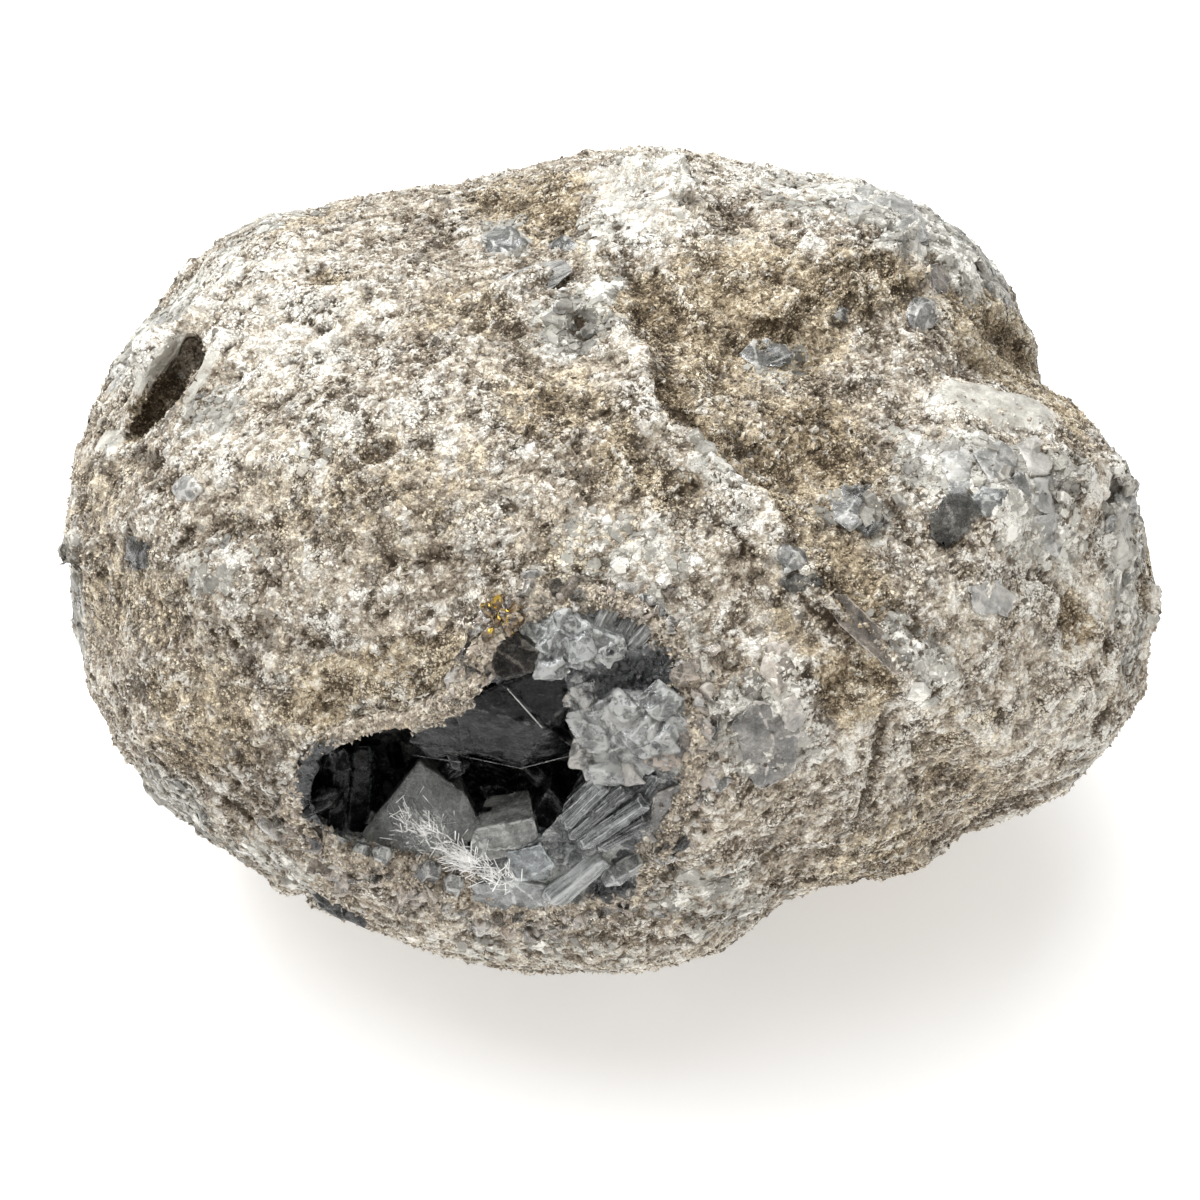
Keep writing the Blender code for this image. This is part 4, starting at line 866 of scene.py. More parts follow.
# The pocket's broad-faced crystals: kind, how pale, how warm, the corners of the face that
# shows, how far the crystal goes in.
pocketInward = np.array([0.05, 0.58, -0.81]) / np.linalg.norm([0.05, 0.58, -0.81]) @ viewFrame
rootShare = 0.7
pocketBlocks = (
    ("smoky", 0.1, 0, ((-30.6, -28.8, 58.7), (-29.2, -25.5, 62.8), (-22.0, -22.6, 68.4),
        (-20.5, -30.8, 60.4), (-27.3, -31.5, 56.5)), 6),
    ("smoky", 0.05, 0.1, ((-23.4, -23.0, 68.1), (-16.1, -19.8, 70.7), (-9.4, -26.6, 66.8),
        (-4.9, -30.3, 61.7), (-13.7, -32.7, 58.9), (-22.5, -30.6, 60.0)), 7),
    ("smoky", 0.09, 0, ((-16.3, -20.0, 70.7), (-6.2, -16.6, 73.0), (-5.6, -22.0, 69.2),
        (-7.2, -26.8, 65.3), (-10.0, -26.6, 66.4)), 8),
    ("smoky", 0.25, 0.7, ((-20.0, -12.7, 71.8), (-15.1, -11.8, 72.6), (-10.4, -15.2, 73.4),
        (-11.6, -18.4, 72.8), (-16.6, -19.4, 71.2)), 6),
    ("smoky", 0.7, 0, ((-29.3, -32.2, 53.2), (-39.2, -44.4, 43.1), (-33.0, -46.6, 45.7),
        (-24.5, -46.2, 50.5), (-19.2, -43.2, 51.7), (-22.4, -37.0, 54.0)), 8),
    ("clear", 0.6, 0.2, ((-20.9, -42.7, 53.0), (-11.7, -40.8, 55.5), (-10.4, -44.9, 55.4),
        (-18.8, -47.6, 52.8), (-21.6, -46.3, 52.0)), 9),
    ("clear", 0.5, -0.5, ((-16.1, -46.0, 54.2), (-10.7, -44.6, 57.2), (-8.6, -47.8, 56.0),
        (-9.8, -50.4, 52.5), (-14.8, -50.9, 51.5)), 7),
    ("clear", 0.55, -0.3, ((-21.6, -51.5, 48.4), (-15.6, -50.4, 52.0), (-9.8, -51.5, 50.2),
        (-9.6, -55.6, 47.4), (-14.1, -57.6, 44.4), (-21.3, -55.4, 44.1)), 7),
    ("clear", 0.12, 0, ((-2.8, -48.6, 52.5), (4.6, -50.0, 50.3), (5.4, -53.0, 47.6),
        (-1.4, -54.6, 47.0)), 6),
    ("ribbed", 0.2, -0.3, ((-7.2, -38.3, 61.2), (-3.4, -34.4, 67.0), (6.8, -33.6, 70.1),
        (7.4, -38.3, 63.6), (0.8, -43.9, 59.6), (-3.4, -45.6, 57.0), (-7.4, -44.3, 55.9)), 8),
    ("milky", 0.58, 0, ((-6.7, -24.7, 70.3), (0.5, -21.4, 72.7), (5.6, -23.5, 73.9), (3.2, -28.6, 71.5),
        (-4.2, -28.4, 68.6)), 7),
    ("milky", 0.68, 0, ((0.4, -22.0, 72.4), (9.2, -21.4, 73.4), (13.0, -25.8, 72.0), (8.4, -30.6, 72.9),
        (2.0, -28.4, 71.2)), 7),
    ("milky", 0.66, 0.1, ((-4.8, -28.2, 68.8), (3.6, -28.0, 72.3), (8.6, -31.4, 72.2), (3.0, -35.0, 67.8),
        (-3.2, -34.8, 64.8), (-5.0, -31.6, 65.1)), 7),
    ("milky", 0.56, 1, ((8.0, -28.0, 73.4), (12.9, -25.6, 72.1), (12.8, -30.2, 71.7), (7.6, -33.2, 70.9),
        (4.4, -31.4, 70.7)), 6),
    ("smoky", 0.06, -0.3, ((-6.6, -17.8, 70.6), (1.9, -15.2, 71.7), (8.3, -9.6, 71.1), (10.6, -13.2, 72.0),
        (10.4, -19.0, 71.4), (4.4, -21.4, 69.4), (-2.9, -23.4, 67.8)), 6),
    ("milky", 0.48, 0.2, ((-6.8, -20.4, 71.5), (-2.9, -19.6, 71.8),
        (-2.3, -23.6, 70.8), (-6.6, -24.3, 69.9)), 7),
    ("milky", 0.5, -0.2, ((-11.7, -11.6, 72.5), (-6.4, -8.4, 73.9), (-2.6, -12.0, 76.4),
        (-4.4, -17.9, 74.4), (-9.6, -17.3, 73.5)), 7),
    ("milky", 0.46, -0.1, ((-4.6, -11.4, 75.7), (1.9, -13.2, 75.1),
        (2.2, -16.2, 73.4), (-4.2, -17.6, 74.3)), 6),
    ("smoky", 0.1, 0, ((-13.0, -41.2, 51.1), (-9.4, -36.2, 56.4),
        (-6.4, -39.8, 56.1), (-8.6, -43.0, 52.6)), 8),
    ("clear", 0.45, 0.5, ((6.2, -36.6, 66.2), (11.4, -34.6, 68.3),
        (11.0, -39.6, 63.7), (5.4, -43.6, 59.9)), 6),
)
# Long crystals: kind, how pale, how warm, root, tip, width, thickness, turn about the length.
pocketPrisms = (
    ("ribbed", 0.8, -0.3, (-1.0, -46.4, 54.0), (-10.4, -54.4, 49.0), 4.6, 4.2, 20),
    ("ribbed", 0.42, -0.3, (-1.2, -34.8, 68.2), (-7.3, -41.4, 60.0), 3.2, 3.0, 15),
    ("ribbed", 0.34, -0.3, (2.4, -35.4, 68.7), (-6.4, -43.2, 58.6), 3.0, 3.0, 40),
    ("ribbed", 0.46, -0.3, (5.0, -37.4, 66.9), (-4.8, -44.6, 58.2), 3.0, 3.0, 10),
    ("ribbed", 0.33, -0.2, (5.4, -40.4, 64.0), (-2.2, -45.0, 59.0), 2.8, 2.6, 30),
    ("milky", 0.9, 0, (-15.4, -20.6, 71.2), (-10.2, -26.6, 67.6), 0.24, 0.3, 0),
    ("milky", 0.42, 0, (-30.2, -31.0, 57.4), (-22.6, -32.0, 60.2), 0.16, 0.3, 0),
    ("milky", 0.42, 0, (-22.6, -31.0, 60.6), (-13.3, -33.0, 59.6), 0.16, 0.3, 0),
    ("milky", 0.5, 0, (-13.5, -32.9, 59.6), (-4.9, -30.6, 62.3), 0.2, 0.3, 0),
    ("clear", 0.5, 0, (4.8, -46.8, 54.0), (-1.4, -50.6, 52.4), 4.0, 3.0, 10),
    ("ribbed", 0.5, 0.1, (-2.6, -13.4, 72.0), (1.2, -5.6, 73.1), 3.6, 3.4, 30),
    ("ribbed", 0.42, 0.1, (0.6, -13.6, 72.1), (5.0, -6.6, 72.7), 3.6, 3.0, 60),
    ("ribbed", 0.5, 0.1, (2.8, -14.6, 71.6), (7.8, -8.6, 72.3), 3.6, 3.0, 15),
    ("smoky", 0.08, -0.4, (-43.6, -43.0, 42.1), (-41.6, -30.4, 50.2), 5.0, 4.0, 30),
    ("smoky", 0.05, -0.6, (-40.0, -44.5, 38.0), (-38.2, -30.0, 46.9), 5.5, 4.0, 10),
    ("clear", 0.4, 0, (-44.0, -46.2, 43.9), (-38.4, -47.6, 46.0), 3.4, 3.0, 25),
    ("clear", 0.5, 0, (-40.4, -48.6, 42.8), (-37.6, -45.4, 47.7), 3.2, 3.0, 50),
    ("clear", 0.45, 0, (-36.8, -50.2, 43.0), (-34.6, -45.6, 48.7), 3.4, 3.0, 5),
    ("clear", 0.35, 0.3, (-30.4, -52.6, 43.3), (-26.6, -47.8, 50.5), 3.8, 3.2, 35),
    ("clear", 0.45, 0.2, (-25.8, -54.6, 42.8), (-23.6, -49.8, 50.0), 3.6, 3.2, 15),
    ("clear", 0.55, 0, (-4.2, -57.0, 44.0), (-6.2, -52.4, 50.3), 3.6, 3.0, 40),
    ("smoky", 0.25, 0.2, (11.6, -42.8, 59.8), (6.8, -45.8, 58.3), 3.8, 3.2, 20),
)
sixSided = ((-1, 0), (-0.55, 1), (0.55, 1), (1, 0), (0.55, -1), (-0.55, -1))
formPlans = {
    "smoky": {"bevel": 0.16, "grid": 1.2, "wavy": 0.1, "steps": 0.8, "ribs": 0.03, "ribSize": 0.9},
    "clear": {"bevel": 0.16, "grid": 1.0, "wavy": 0.08, "steps": 0.8, "ribs": 0.1, "ribSize": 0.8},
    "milky": {"bevel": 0.3, "grid": 0.85, "wavy": 0.22, "steps": 1.7, "ribs": 0.05, "ribSize": 1.2},
    "ribbed": {"bevel": 0.12, "grid": 0.65, "wavy": 0.05, "steps": 0.4, "ribs": 0.3, "ribSize": 0.85},
    "broken": {"bevel": 0.14, "grid": 0.6, "wavy": 0.3, "steps": 2.6, "ribs": 0.06, "ribSize": 0.8},
    "outer": {"bevel": 0.12, "grid": 1.0, "wavy": 0.22, "steps": 1.6, "ribs": 0.06, "ribSize": 0.8},
    "druse": {"bevel": 0.16, "grid": 3.0, "wavy": 0.05, "steps": 0.3, "ribs": 0.0, "ribSize": 0.9},
    "needle": {"bevel": 0.0, "grid": 9.0, "wavy": 0.03, "steps": 0.0, "ribs": 0.0, "ribSize": 0.9},
}


def blockCorners(face, thickness):
    face = placed(face)
    centre = face.mean(0)
    return np.concatenate([face, centre + (face - centre) * rootShare + pocketInward * thickness])


def prismCorners(root, tip, width, thickness, turn):
    along = (tip - root) / np.linalg.norm(tip - root)
    side = Vector(np.cross(along, outWay)).normalized()
    side.rotate(Matrix.Rotation(math.radians(turn), 3, Vector(along)))
    side = np.array(side)
    front = np.cross(side, along)
    wedge = min(width * 0.55, np.linalg.norm(tip - root) * 0.4)
    corners = []
    for end, size in ((root, 0.9), (tip - along * wedge, 1.0)):
        for across, out in sixSided:
            corners.append(end + (side * across * width + front * out * thickness) * size / 2)
    for across in (-0.5, 0.35):
        corners.append(tip + side * across * width / 2)
    return np.array(corners)


knobPlan = {"count": 5, "size": (0.32, 0.72), "corners": 15, "flat": (0.85, 0.85, 0.5),
            "paler": (-0.2, 0.28), "warmer": (-0.1, 0.3), "seed": 18}


def knobForms(face, shade, tint, number, rng):  # lumps grown on a milky crystal
    face = np.array(face)
    centre = face.mean(0)
    spread = np.linalg.norm(face - centre, axis=1).mean()
    forms = []
    for knob in range(knobPlan["count"]):
        spot = centre + (rng.dirichlet(np.ones(len(face)) * 0.5) @ face - centre) * 1.05
        size = spread * rng.uniform(*knobPlan["size"])
        around = rng.normal(0, 1, (knobPlan["corners"], 3))
        around /= np.linalg.norm(around, axis=1, keepdims=True) ** 0.75
        corners = placed(spot + around * knobPlan["flat"] * size)
        forms.append(crystalForm(corners, corners[0] - corners[1], formPlans["outer"],
                                 number + knob, shade + rng.uniform(*knobPlan["paler"]),
                                 tint + rng.uniform(*knobPlan["warmer"])))
    return forms


finePrism = 0.5  # prisms no wider than this are plain needles


def pocketForms():
    forms = {kind: [] for kind in glassPlans}
    rng = np.random.default_rng(knobPlan["seed"])
    for number, (kind, shade, tint, face, thickness) in enumerate(pocketBlocks):
        corners = blockCorners(face, thickness)
        along = placed(face[1]) - placed(face[0])
        forms[kind].append(
            crystalForm(corners, along, formPlans[kind], 100 + number, shade, tint))
        if kind == "milky":
            forms[kind] += knobForms(face, shade, tint, 900 + number * 20, rng)
    for number, row in enumerate(pocketPrisms):
        kind, shade, tint, root, tip, width, thickness, turn = row
        root, tip = placed(root), placed(tip)
        corners = prismCorners(root, tip, width, thickness, turn)
        form = kind if width > finePrism else "needle"
        forms[kind].append(
            crystalForm(corners, tip - root, formPlans[form], 200 + number, shade, tint))
    return forms


# The fibrous white spray on the front of the pointed smoky crystal: a tuft that thins out to the
# lower right. A run is how many fibres, where it starts and ends, and how loose it is at either.
sprayPlan = {
    "runs": ((430, (-30.2, -42.6), (-21.0, -48.4), (1.7, 0.6), (0.6, 3.2)),
             (150, (-23.0, -47.2), (-15.0, -50.8), (1.0, 0.8), (3.0, 3.6)),
             (90, (-31.5, -42.2), (-24.0, -42.8), (0.6, 1.1), (0.5, 1.2))),
    "plane": (0.4, 0.503, 81.1), "length": (0.6, 3.0), "width": (0.08, 0.2),
    "way": 2.6, "spread": 0.75, "tipLift": 0.4, "seed": 12,
    "white": ((0.0, (0.3, 0.29, 0.28)), (0.5, (0.74, 0.73, 0.71)), (1.0, (0.97, 0.96, 0.94))),
}


def sprayForms(plan):
    rng = np.random.default_rng(plan["seed"])
    forms = []
    for count, start, end, loose, lift in plan["runs"]:
        start, end = np.array(start), np.array(end)
        for share in rng.uniform(0, 1, count) ** 1.25:
            root = start + (end - start) * share
            root += rng.normal(0, loose[0] + (loose[1] - loose[0]) * share, 2)
            way = plan["way"] + rng.normal(0, plan["spread"])
            tip = root + np.array((math.cos(way), math.sin(way))) * rng.uniform(*plan["length"])
            base = lift[0] + (lift[1] - lift[0]) * share
            ends = []
            for place, higher in ((root, base), (tip, base + rng.normal(0, plan["tipLift"]))):
                out = place @ np.array(plan["plane"][:2]) + plan["plane"][2] + higher
                ends.append(placed((*place, out)))
            width = rng.uniform(*plan["width"])
            corners = prismCorners(ends[0], ends[1], width, width * 0.7, rng.uniform(0, 180))
            forms.append(crystalForm(corners, ends[1] - ends[0], formPlans["needle"],
                                     600 + len(forms), rng.uniform(0.75, 1.0)))
    return forms


def sprayMaterial(plan):
    made, shader, coords = newMaterial("whiteSpray", **{"Roughness": 0.6})
    shade, = coords.stored("shade")
    tone = 0.5 + (coords.noise(0.7, 3.0) - 0.5) * 1.6 + (shade - 0.85) * 1.5
    feed(shader, Base_Color=tone.ramp(*plan["white"]))
    return made


outerPlan = {"grown": 1.12, "slender": 2.2, "peaks": 2, "peak": (0.25, 0.9), "jitter": 0.22,
             "narrowed": 0.8, "deep": 3.5, "warm": 0.3, "seed": 15}


def outerForms(plan, tree):
    # Each outer crystal: a broken block that is bedded in the rock, with a low ridge on it.
    rng = np.random.default_rng(plan["seed"])
    forms = {kind: [] for kind in glassPlans}
    for number, (row, face) in enumerate(zip(outerCrystals, outerFaces(tree))):
        kind, shade, tint, outline, lift = row
        centre = face.mean(0)
        face = centre + (face - centre) * plan["grown"]
        spread = np.linalg.norm(face[:, :2] - centre[:2], axis=1)
        slender = spread.max() > spread.min() * plan["slender"]
        top = face + (0, 0, lift)
        ridge = []
        if not slender:
            top = top + rng.normal(0, plan["jitter"], top.shape)
            for _ in range(plan["peaks"]):
                spot = centre + (rng.dirichlet(np.ones(len(face))) @ face - centre) * 0.9
                ridge.append([spot + (0, 0, lift + rng.uniform(*plan["peak"]))])
        low = centre + (face - centre) * plan["narrowed"] - (0, 0, plan["deep"])
        corners = placed(np.concatenate([top, low, *ridge]))
        along = placed(face[np.argmax(spread)]) - placed(centre)
        form = kind if slender else "outer"
        forms[kind].append(crystalForm(corners, along, formPlans[form], 500 + number, shade,
                                       tint + plan["warm"]))
    return forms


# Crystals all over the hollow's inner wall, that lean to its mouth.
drusePlan = {"count": 130, "mouth": (-24.0, -35.0, 58.0), "reach": 40.0, "behind": 3.0,
             "length": (2.25, 6.375), "slim": (0.45, 0.8), "shade": (0.03, 0.14), "seed": 5}


def druseForms(plan):
    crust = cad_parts["crystal_crust"].data
    rng = np.random.default_rng(plan["seed"])
    mouth = placed(plan["mouth"])
    spots, ways, areas = [], [], []
    for face in crust.polygons:
        centre = np.array(face.center) / mm
        normal = np.array(face.normal)
        depth = (centre - mouth) @ pocketInward
        axis = mouth + pocketInward * depth
        away = np.linalg.norm(axis - centre)
        inward = (axis - centre) / max(away, 1e-6)
        leaning = normal @ inward > 0.1 - 0.02 * depth
        if depth > plan["behind"] and leaning and away < plan["reach"]:
            spots.append(centre)
            ways.append(normal)
            areas.append(face.area)
    chance = np.array(areas) / np.sum(areas)
    forms = []
    for number in rng.choice(len(spots), plan["count"], p=chance):
        along = ways[number] + rng.uniform(-0.45, 0.45, 3) - pocketInward * rng.uniform(0, 0.5)
        along /= np.linalg.norm(along)
        length = rng.uniform(*plan["length"])
        width = length * rng.uniform(*plan["slim"])
        spot = spots[number] + rng.normal(0, 1.2, 3)
        corners = prismCorners(spot - along * 2, spot + along * length, width,
                               width * 0.75, rng.uniform(0, 180))
        forms.append(crystalForm(corners, along, formPlans["druse"], 300 + number,
                                 rng.uniform(*plan["shade"]), -0.3))
    return forms


bedPlan = {"voxel": 0.42, "triangles": 75000, "drawnIn": 0.8, "rimOut": 0.7}


def makeBed(plan):
    def focus(points, normals):
        return 0.15 + 0.85 * ease(normals @ pocketInward, -0.2, 0.3)

    points, triangles = remeshed("pocketBed", "crystal_crust", plan["voxel"], plan["triangles"], focus)
    normals = vertexNormals(points, triangles)
    edges = edgesOf(triangles)
    normals = averaged(normals, edges, 2)
    places = viewed(points)
    rise = facetRelief(points, 2.6, 21, 0.35, 0.4) + facetRelief(points, 1.2, 22, 0.35, 0.2)
    atRim = ease(rimDistance(places), 4.0, 2.0) * ease(places[:, 2], 36.0, 42.0)
    drawn = plan["drawnIn"] * (1 - atRim) - atRim * plan["rimOut"]
    points = points + normals * (rise * 0.5 - drawn)[:, None]
    obj = meshObject("pocketBed", points, triangles)
    hole = patchStrength(places, pocketHole)
    rim = ease(rimDistance(places), 5.0, 1.5) * ease(places[:, 2], 38.0, 44.0)
    rim = np.clip(np.maximum(rim, patchStrength(places, pocketRim)) - hole, 0, 1)
    storeValues(obj, "bright", patchStrength(places, pocketBright))
    storeValues(obj, "rim", rim)
    storeValues(obj, "hole", hole)
    return obj, points, triangles, rim


# The pocket's outline, as the camera sees it.
rimOutline = np.array((
    (-51.5, -40.7), (-48.5, -34.9), (-45.7, -29.9), (-38.5, -26.4), (-30.7, -24.9),
    (-23.2, -21.7), (-21.5, -17.5), (-17.5, -10.0), (-13.3, -7.5), (-1.7, -5.8),
    (6.6, -8.3), (11.3, -14.1), (13.3, -22.4), (14.6, -29.1), (12.9, -36.5),
    (9.6, -44.0), (5.8, -53.0), (-1.7, -56.3), (-11.6, -58.0), (-21.6, -57.0),
    (-29.9, -53.5), (-39.0, -49.8), (-47.3, -45.7)))


def rimDistance(places):  # in the view's plane, from the pocket's outline
    nearest = np.full(len(places), 9e9)
    for start, end in zip(rimOutline, np.roll(rimOutline, -1, axis=0)):
        along = end - start
        share = np.clip(((places[:, :2] - start) @ along) / (along @ along), 0, 1)
        gap = np.linalg.norm(places[:, :2] - start - share[:, None] * along, axis=1)
        nearest = np.minimum(nearest, gap)
    return nearest


# Where the crystal bed is pale, where it is as the rock round it, and where it is dark with
# painted shade deep in the hollow: as in zonePatches.
pocketBright = (
    (2, -27, 9, 6, 0, 1.0), (11, -29, 4, 5, 0, 0.7), (-6, -13, 7, 4, 0, 0.9),
    (-4, -22, 2.6, 2.4, 0, 0.8), (-28, -44, 6, 3, -20, 0.9), (-18, -44, 5, 3, 0, 0.6),
    (-15, -51, 8, 3, 0, 0.7), (-34, -48, 9, 3, -10, 0.8), (-6, -51, 6, 3, 30, 0.6),
    (-30, -25, 10, 1.6, 18, 0.7), (4, -50, 5, 5, 0, 0.3),
    (-40, -46, 5, 3, 0, 0.6),
)
pocketRim = (
    (-30, -50, 14, 4, -16, 1.0), (-15, -56, 12, 3, 0, 1.0), (8, -48, 6, 5, 60, 0.9),
    (13, -33, 3, 8, 0, 0.9), (-1, -55, 8, 3, 20, 0.9), (-45, -46, 6, 3, -20, 1.0),
)
pocketHole = (
    (-42, -35, 7, 7, 10, 1.0), (-20, -34, 12, 6, -5, 1.0), (-10, -34, 8, 5, 10, 1.0),
    (3, -19, 8, 3, 25, 0.9), (0, -51, 4, 3, 0, 0.8),
)
bed, bedPoints, bedTriangles, bedRim = makeBed(bedPlan)
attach(bed, "root")
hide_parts("crystal_crust")
print("pocket bed made")


def bedMaterial(look):
    made, shader, coords = newMaterial("crystalBed", **{"IOR": celestiteIor})
    bright, rim, hole = coords.stored("bright", "rim", "hole")
    fine = coords.noise(2.0, 3.0, 0.6)
    patchy = coords.noise(0.45, 4.0, 0.6)
    bent = coords.warped(0.8, 1.0)
    face = bent.cellNumbers(0.5)[0]
    flakeRed, flakeGreen, flakeBlue = bent.cellNumbers(1.5)
    # Painted shade: the tone drops in the holes.
    glassTone = (0.3 + bright * 0.5 + (face - 0.5) * 0.4 + (fine - 0.5) * 0.8 + (patchy - 0.5) * 0.7
                 - hole * 0.5)
    rockTone = 0.4 + (flakeRed - 0.5) * 0.4 + (fine - 0.5) * 1.5 + (patchy - 0.5) * 1.1
    glass = glassTone.ramp((0.0, (0.008, 0.009, 0.01)), (0.3, (0.09, 0.095, 0.097)),
                           (0.6, (0.38, 0.39, 0.37)), (1.0, (0.8, 0.81, 0.77)))
    rimShare = (rim + (patchy - 0.5) * 1.2 + (flakeGreen - 0.5) * 0.6).between(0.3, 0.7)
    colour = coords.mixed(rimShare, glass, rockTone.ramp(*look["chalk"]))
    roughness = 0.2 + flakeBlue * 0.3 + rimShare * 0.35
    normal = coords.bumped(bent.facetHeight(1.3), 0.8, 1.0)
    normal = coords.bumped(fine, 0.5, 0.4, normal)
    feed(shader, Base_Color=colour, Roughness=roughness, Normal=normal)
    return made


bed.data.materials.append(bedMaterial(rockLook))

# Glass-like celestite: how much of the light goes in, what it takes from it there, its sheen,
# and how strong the mottling, the lengthwise lines, the white veins and the painted highlight
# on the edges are.
glassPlans = {
    "smoky": {"clear": 0.85, "absorbed": (0.5, 0.52, 0.53), "density": 150.0, "roughness": 0.07,
              "sheen": 0.2, "gleam": 0.2, "bump": 0.35, "mottle": 0.5, "lined": 0.1, "veins": 0.14,
              "edges": 0.32},
    "clear": {"clear": 0.6, "absorbed": (0.83, 0.84, 0.83), "density": 60.0, "roughness": 0.14,
              "sheen": 0.5, "gleam": 0.9, "bump": 0.4, "mottle": 1.1, "lined": 0.35, "veins": 0.2,
              "edges": 0.42},
    "milky": {"clear": 0.7, "absorbed": (0.9, 0.93, 0.91), "density": 60.0, "roughness": 0.16,
              "sheen": 0.5, "gleam": 1.0, "bump": 0.6, "mottle": 1.7, "lined": 0.25, "veins": 0.3,
              "edges": 0.5},
    "ribbed": {"clear": 0.6, "absorbed": (0.83, 0.84, 0.84), "density": 60.0, "roughness": 0.1,
               "sheen": 0.5, "gleam": 1.0, "bump": 0.8, "mottle": 0.7, "lined": 1.9, "veins": 0.1,
               "edges": 0.45},
}
glassRamp = ((0.0, (0.004, 0.0042, 0.0043)), (0.2, (0.04, 0.0425, 0.043)),
             (0.5, (0.31, 0.318, 0.31)), (0.8, (0.7, 0.715, 0.69)), (1.0, (0.95, 0.96, 0.93)))
coolTint = (0.82, 0.92, 1.0, 1)
warmTint = (1.0, 0.86, 0.76, 1)


def glassMaterial(name, plan):
    made, shader, coords = newMaterial(name, **{
        "IOR": celestiteIor, "Transmission Weight": plan["clear"], "Roughness": plan["roughness"],
        "Specular IOR Level": plan["sheen"], "Specular Tint": (plan["gleam"],) * 3 + (1,)})
    across, deep, lengthwise, shade, tint, edge = coords.stored(
        "layAcross", "layDeep", "layAlong", "shade", "tint", "edge")
    lay = coords.out("ShaderNodeCombineXYZ", {}, {0: across, 1: deep, 2: lengthwise * 0.07}, 0)
    lines = lay.noise(1.5, 3.0, 0.7)
    clouds = coords.noise(0.4, 4.0, 0.65)
    waves = coords.noise(0.9, 3.0, 0.6)
    vein = (coords.warped(0.3, 2.0).noise(0.45, 3.0, 0.5) - 0.5).size().between(0.035, 0.0)
    # Painted highlight along the bevelled edges.
    rim = (edge + (waves - 0.5) * 1.6 + (clouds - 0.5)).between(0.75, 1.1)
    specks = (coords.cellNumbers(2.6)[0] + (waves - 0.5) * 0.3).between(0.9, 0.98)
    tone = (shade + (clouds - 0.5) * plan["mottle"] + (lines - 0.5) * plan["lined"]
            + vein * clouds.between(0.4, 0.6) * plan["veins"] + rim * plan["edges"] + specks * 0.16)
    colour = tone.ramp(*glassRamp)
    cool = coords.mixed(tint.between(0.0, -1.0), (1, 1, 1, 1), coolTint)
    warm = coords.mixed(tint.between(0.0, 1.0), cool, warmTint)
    colour = coords.mixed(1.0, colour, warm, "MULTIPLY")
    normal = coords.bumped(lines * plan["lined"] + waves, plan["bump"], 0.5)
    feed(shader, Base_Color=colour, Normal=normal)
    tree = made.node_tree
    absorbing = tree.nodes.new("ShaderNodeVolumeAbsorption")
    absorbing.inputs["Color"].default_value = (*plan["absorbed"], 1)
    absorbing.inputs["Density"].default_value = plan["density"]
    tree.links.new(absorbing.outputs[0], tree.nodes["Material Output"].inputs["Volume"])
    return made


# The golden-brown crystal at the pocket's upper rim.
goldenPlan = {
    "outline": ((-20.1, -9.5), (-18.3, -8.0), (-14.9, -7.8), (-12.9, -9.1), (-13.3, -11.8),
                (-16.3, -12.9), (-19.3, -12.1)),
    "lift": 0.3, "count": 8, "corners": 11, "size": 3.2, "seed": 16,
    "brown": ((0.0, (0.012, 0.008, 0.005)), (0.45, (0.09, 0.055, 0.025)), (1.0, (0.4, 0.3, 0.18))),
    "gold": (0.95, 0.66, 0.12, 1),
}


def foremost(trees, spot):  # how far out the nearest of some surfaces lies, or None
    outs = [surfaceOut(tree, *spot) for tree in trees]
    return max((out for out in outs if out is not None), default=None)


def goldenForms(plan, trees):
    rng = np.random.default_rng(plan["seed"])
    outline = np.array(plan["outline"])
    forms = []
    for number in range(plan["count"]):
        spot = rng.dirichlet(np.ones(len(outline)) * 0.7) @ outline
        centre = placed((*spot, foremost(trees, spot) + plan["lift"]))
        corners = centre + rng.normal(0, 1, (plan["corners"], 3)) * plan["size"] * 0.36
        forms.append(crystalForm(corners, corners[0] - corners[1], formPlans["broken"], 800 + number))
    return forms


def goldenMaterial(plan):
    made, shader, coords = newMaterial("goldenCelestite", **{"IOR": celestiteIor})
    bent = coords.warped(0.9, 0.8)
    face = bent.cellNumbers(1.3)
    clouds = coords.noise(0.7, 4.0, 0.6)
    glint = (face[0] + (clouds - 0.5) * 0.8).between(0.8, 0.9)
    tone = 0.45 + (face[1] - 0.5) * 0.6 + (clouds - 0.5) * 1.4
    colour = coords.mixed(glint, tone.ramp(*plan["brown"]), plan["gold"])
    normal = coords.bumped(bent.facetHeight(1.3), 1.0, 1.2)
    feed(shader, Base_Color=colour, Metallic=glint * 0.9, Roughness=0.12 + face[2] * 0.2,
         Normal=normal)
    return made


# Small broken crystals that close the joint between the pocket's bed and the rock round it.
lumpPlan = {"step": 1.1, "first": 5, "last": 23, "sizes": (1.2, 4.4), "corners": 9, "seed": 14,
            "kinds": ("clear", "milky", "clear", "milky", "smoky"),
            "shades": {"clear": 0.55, "milky": 0.68, "smoky": 0.4}}


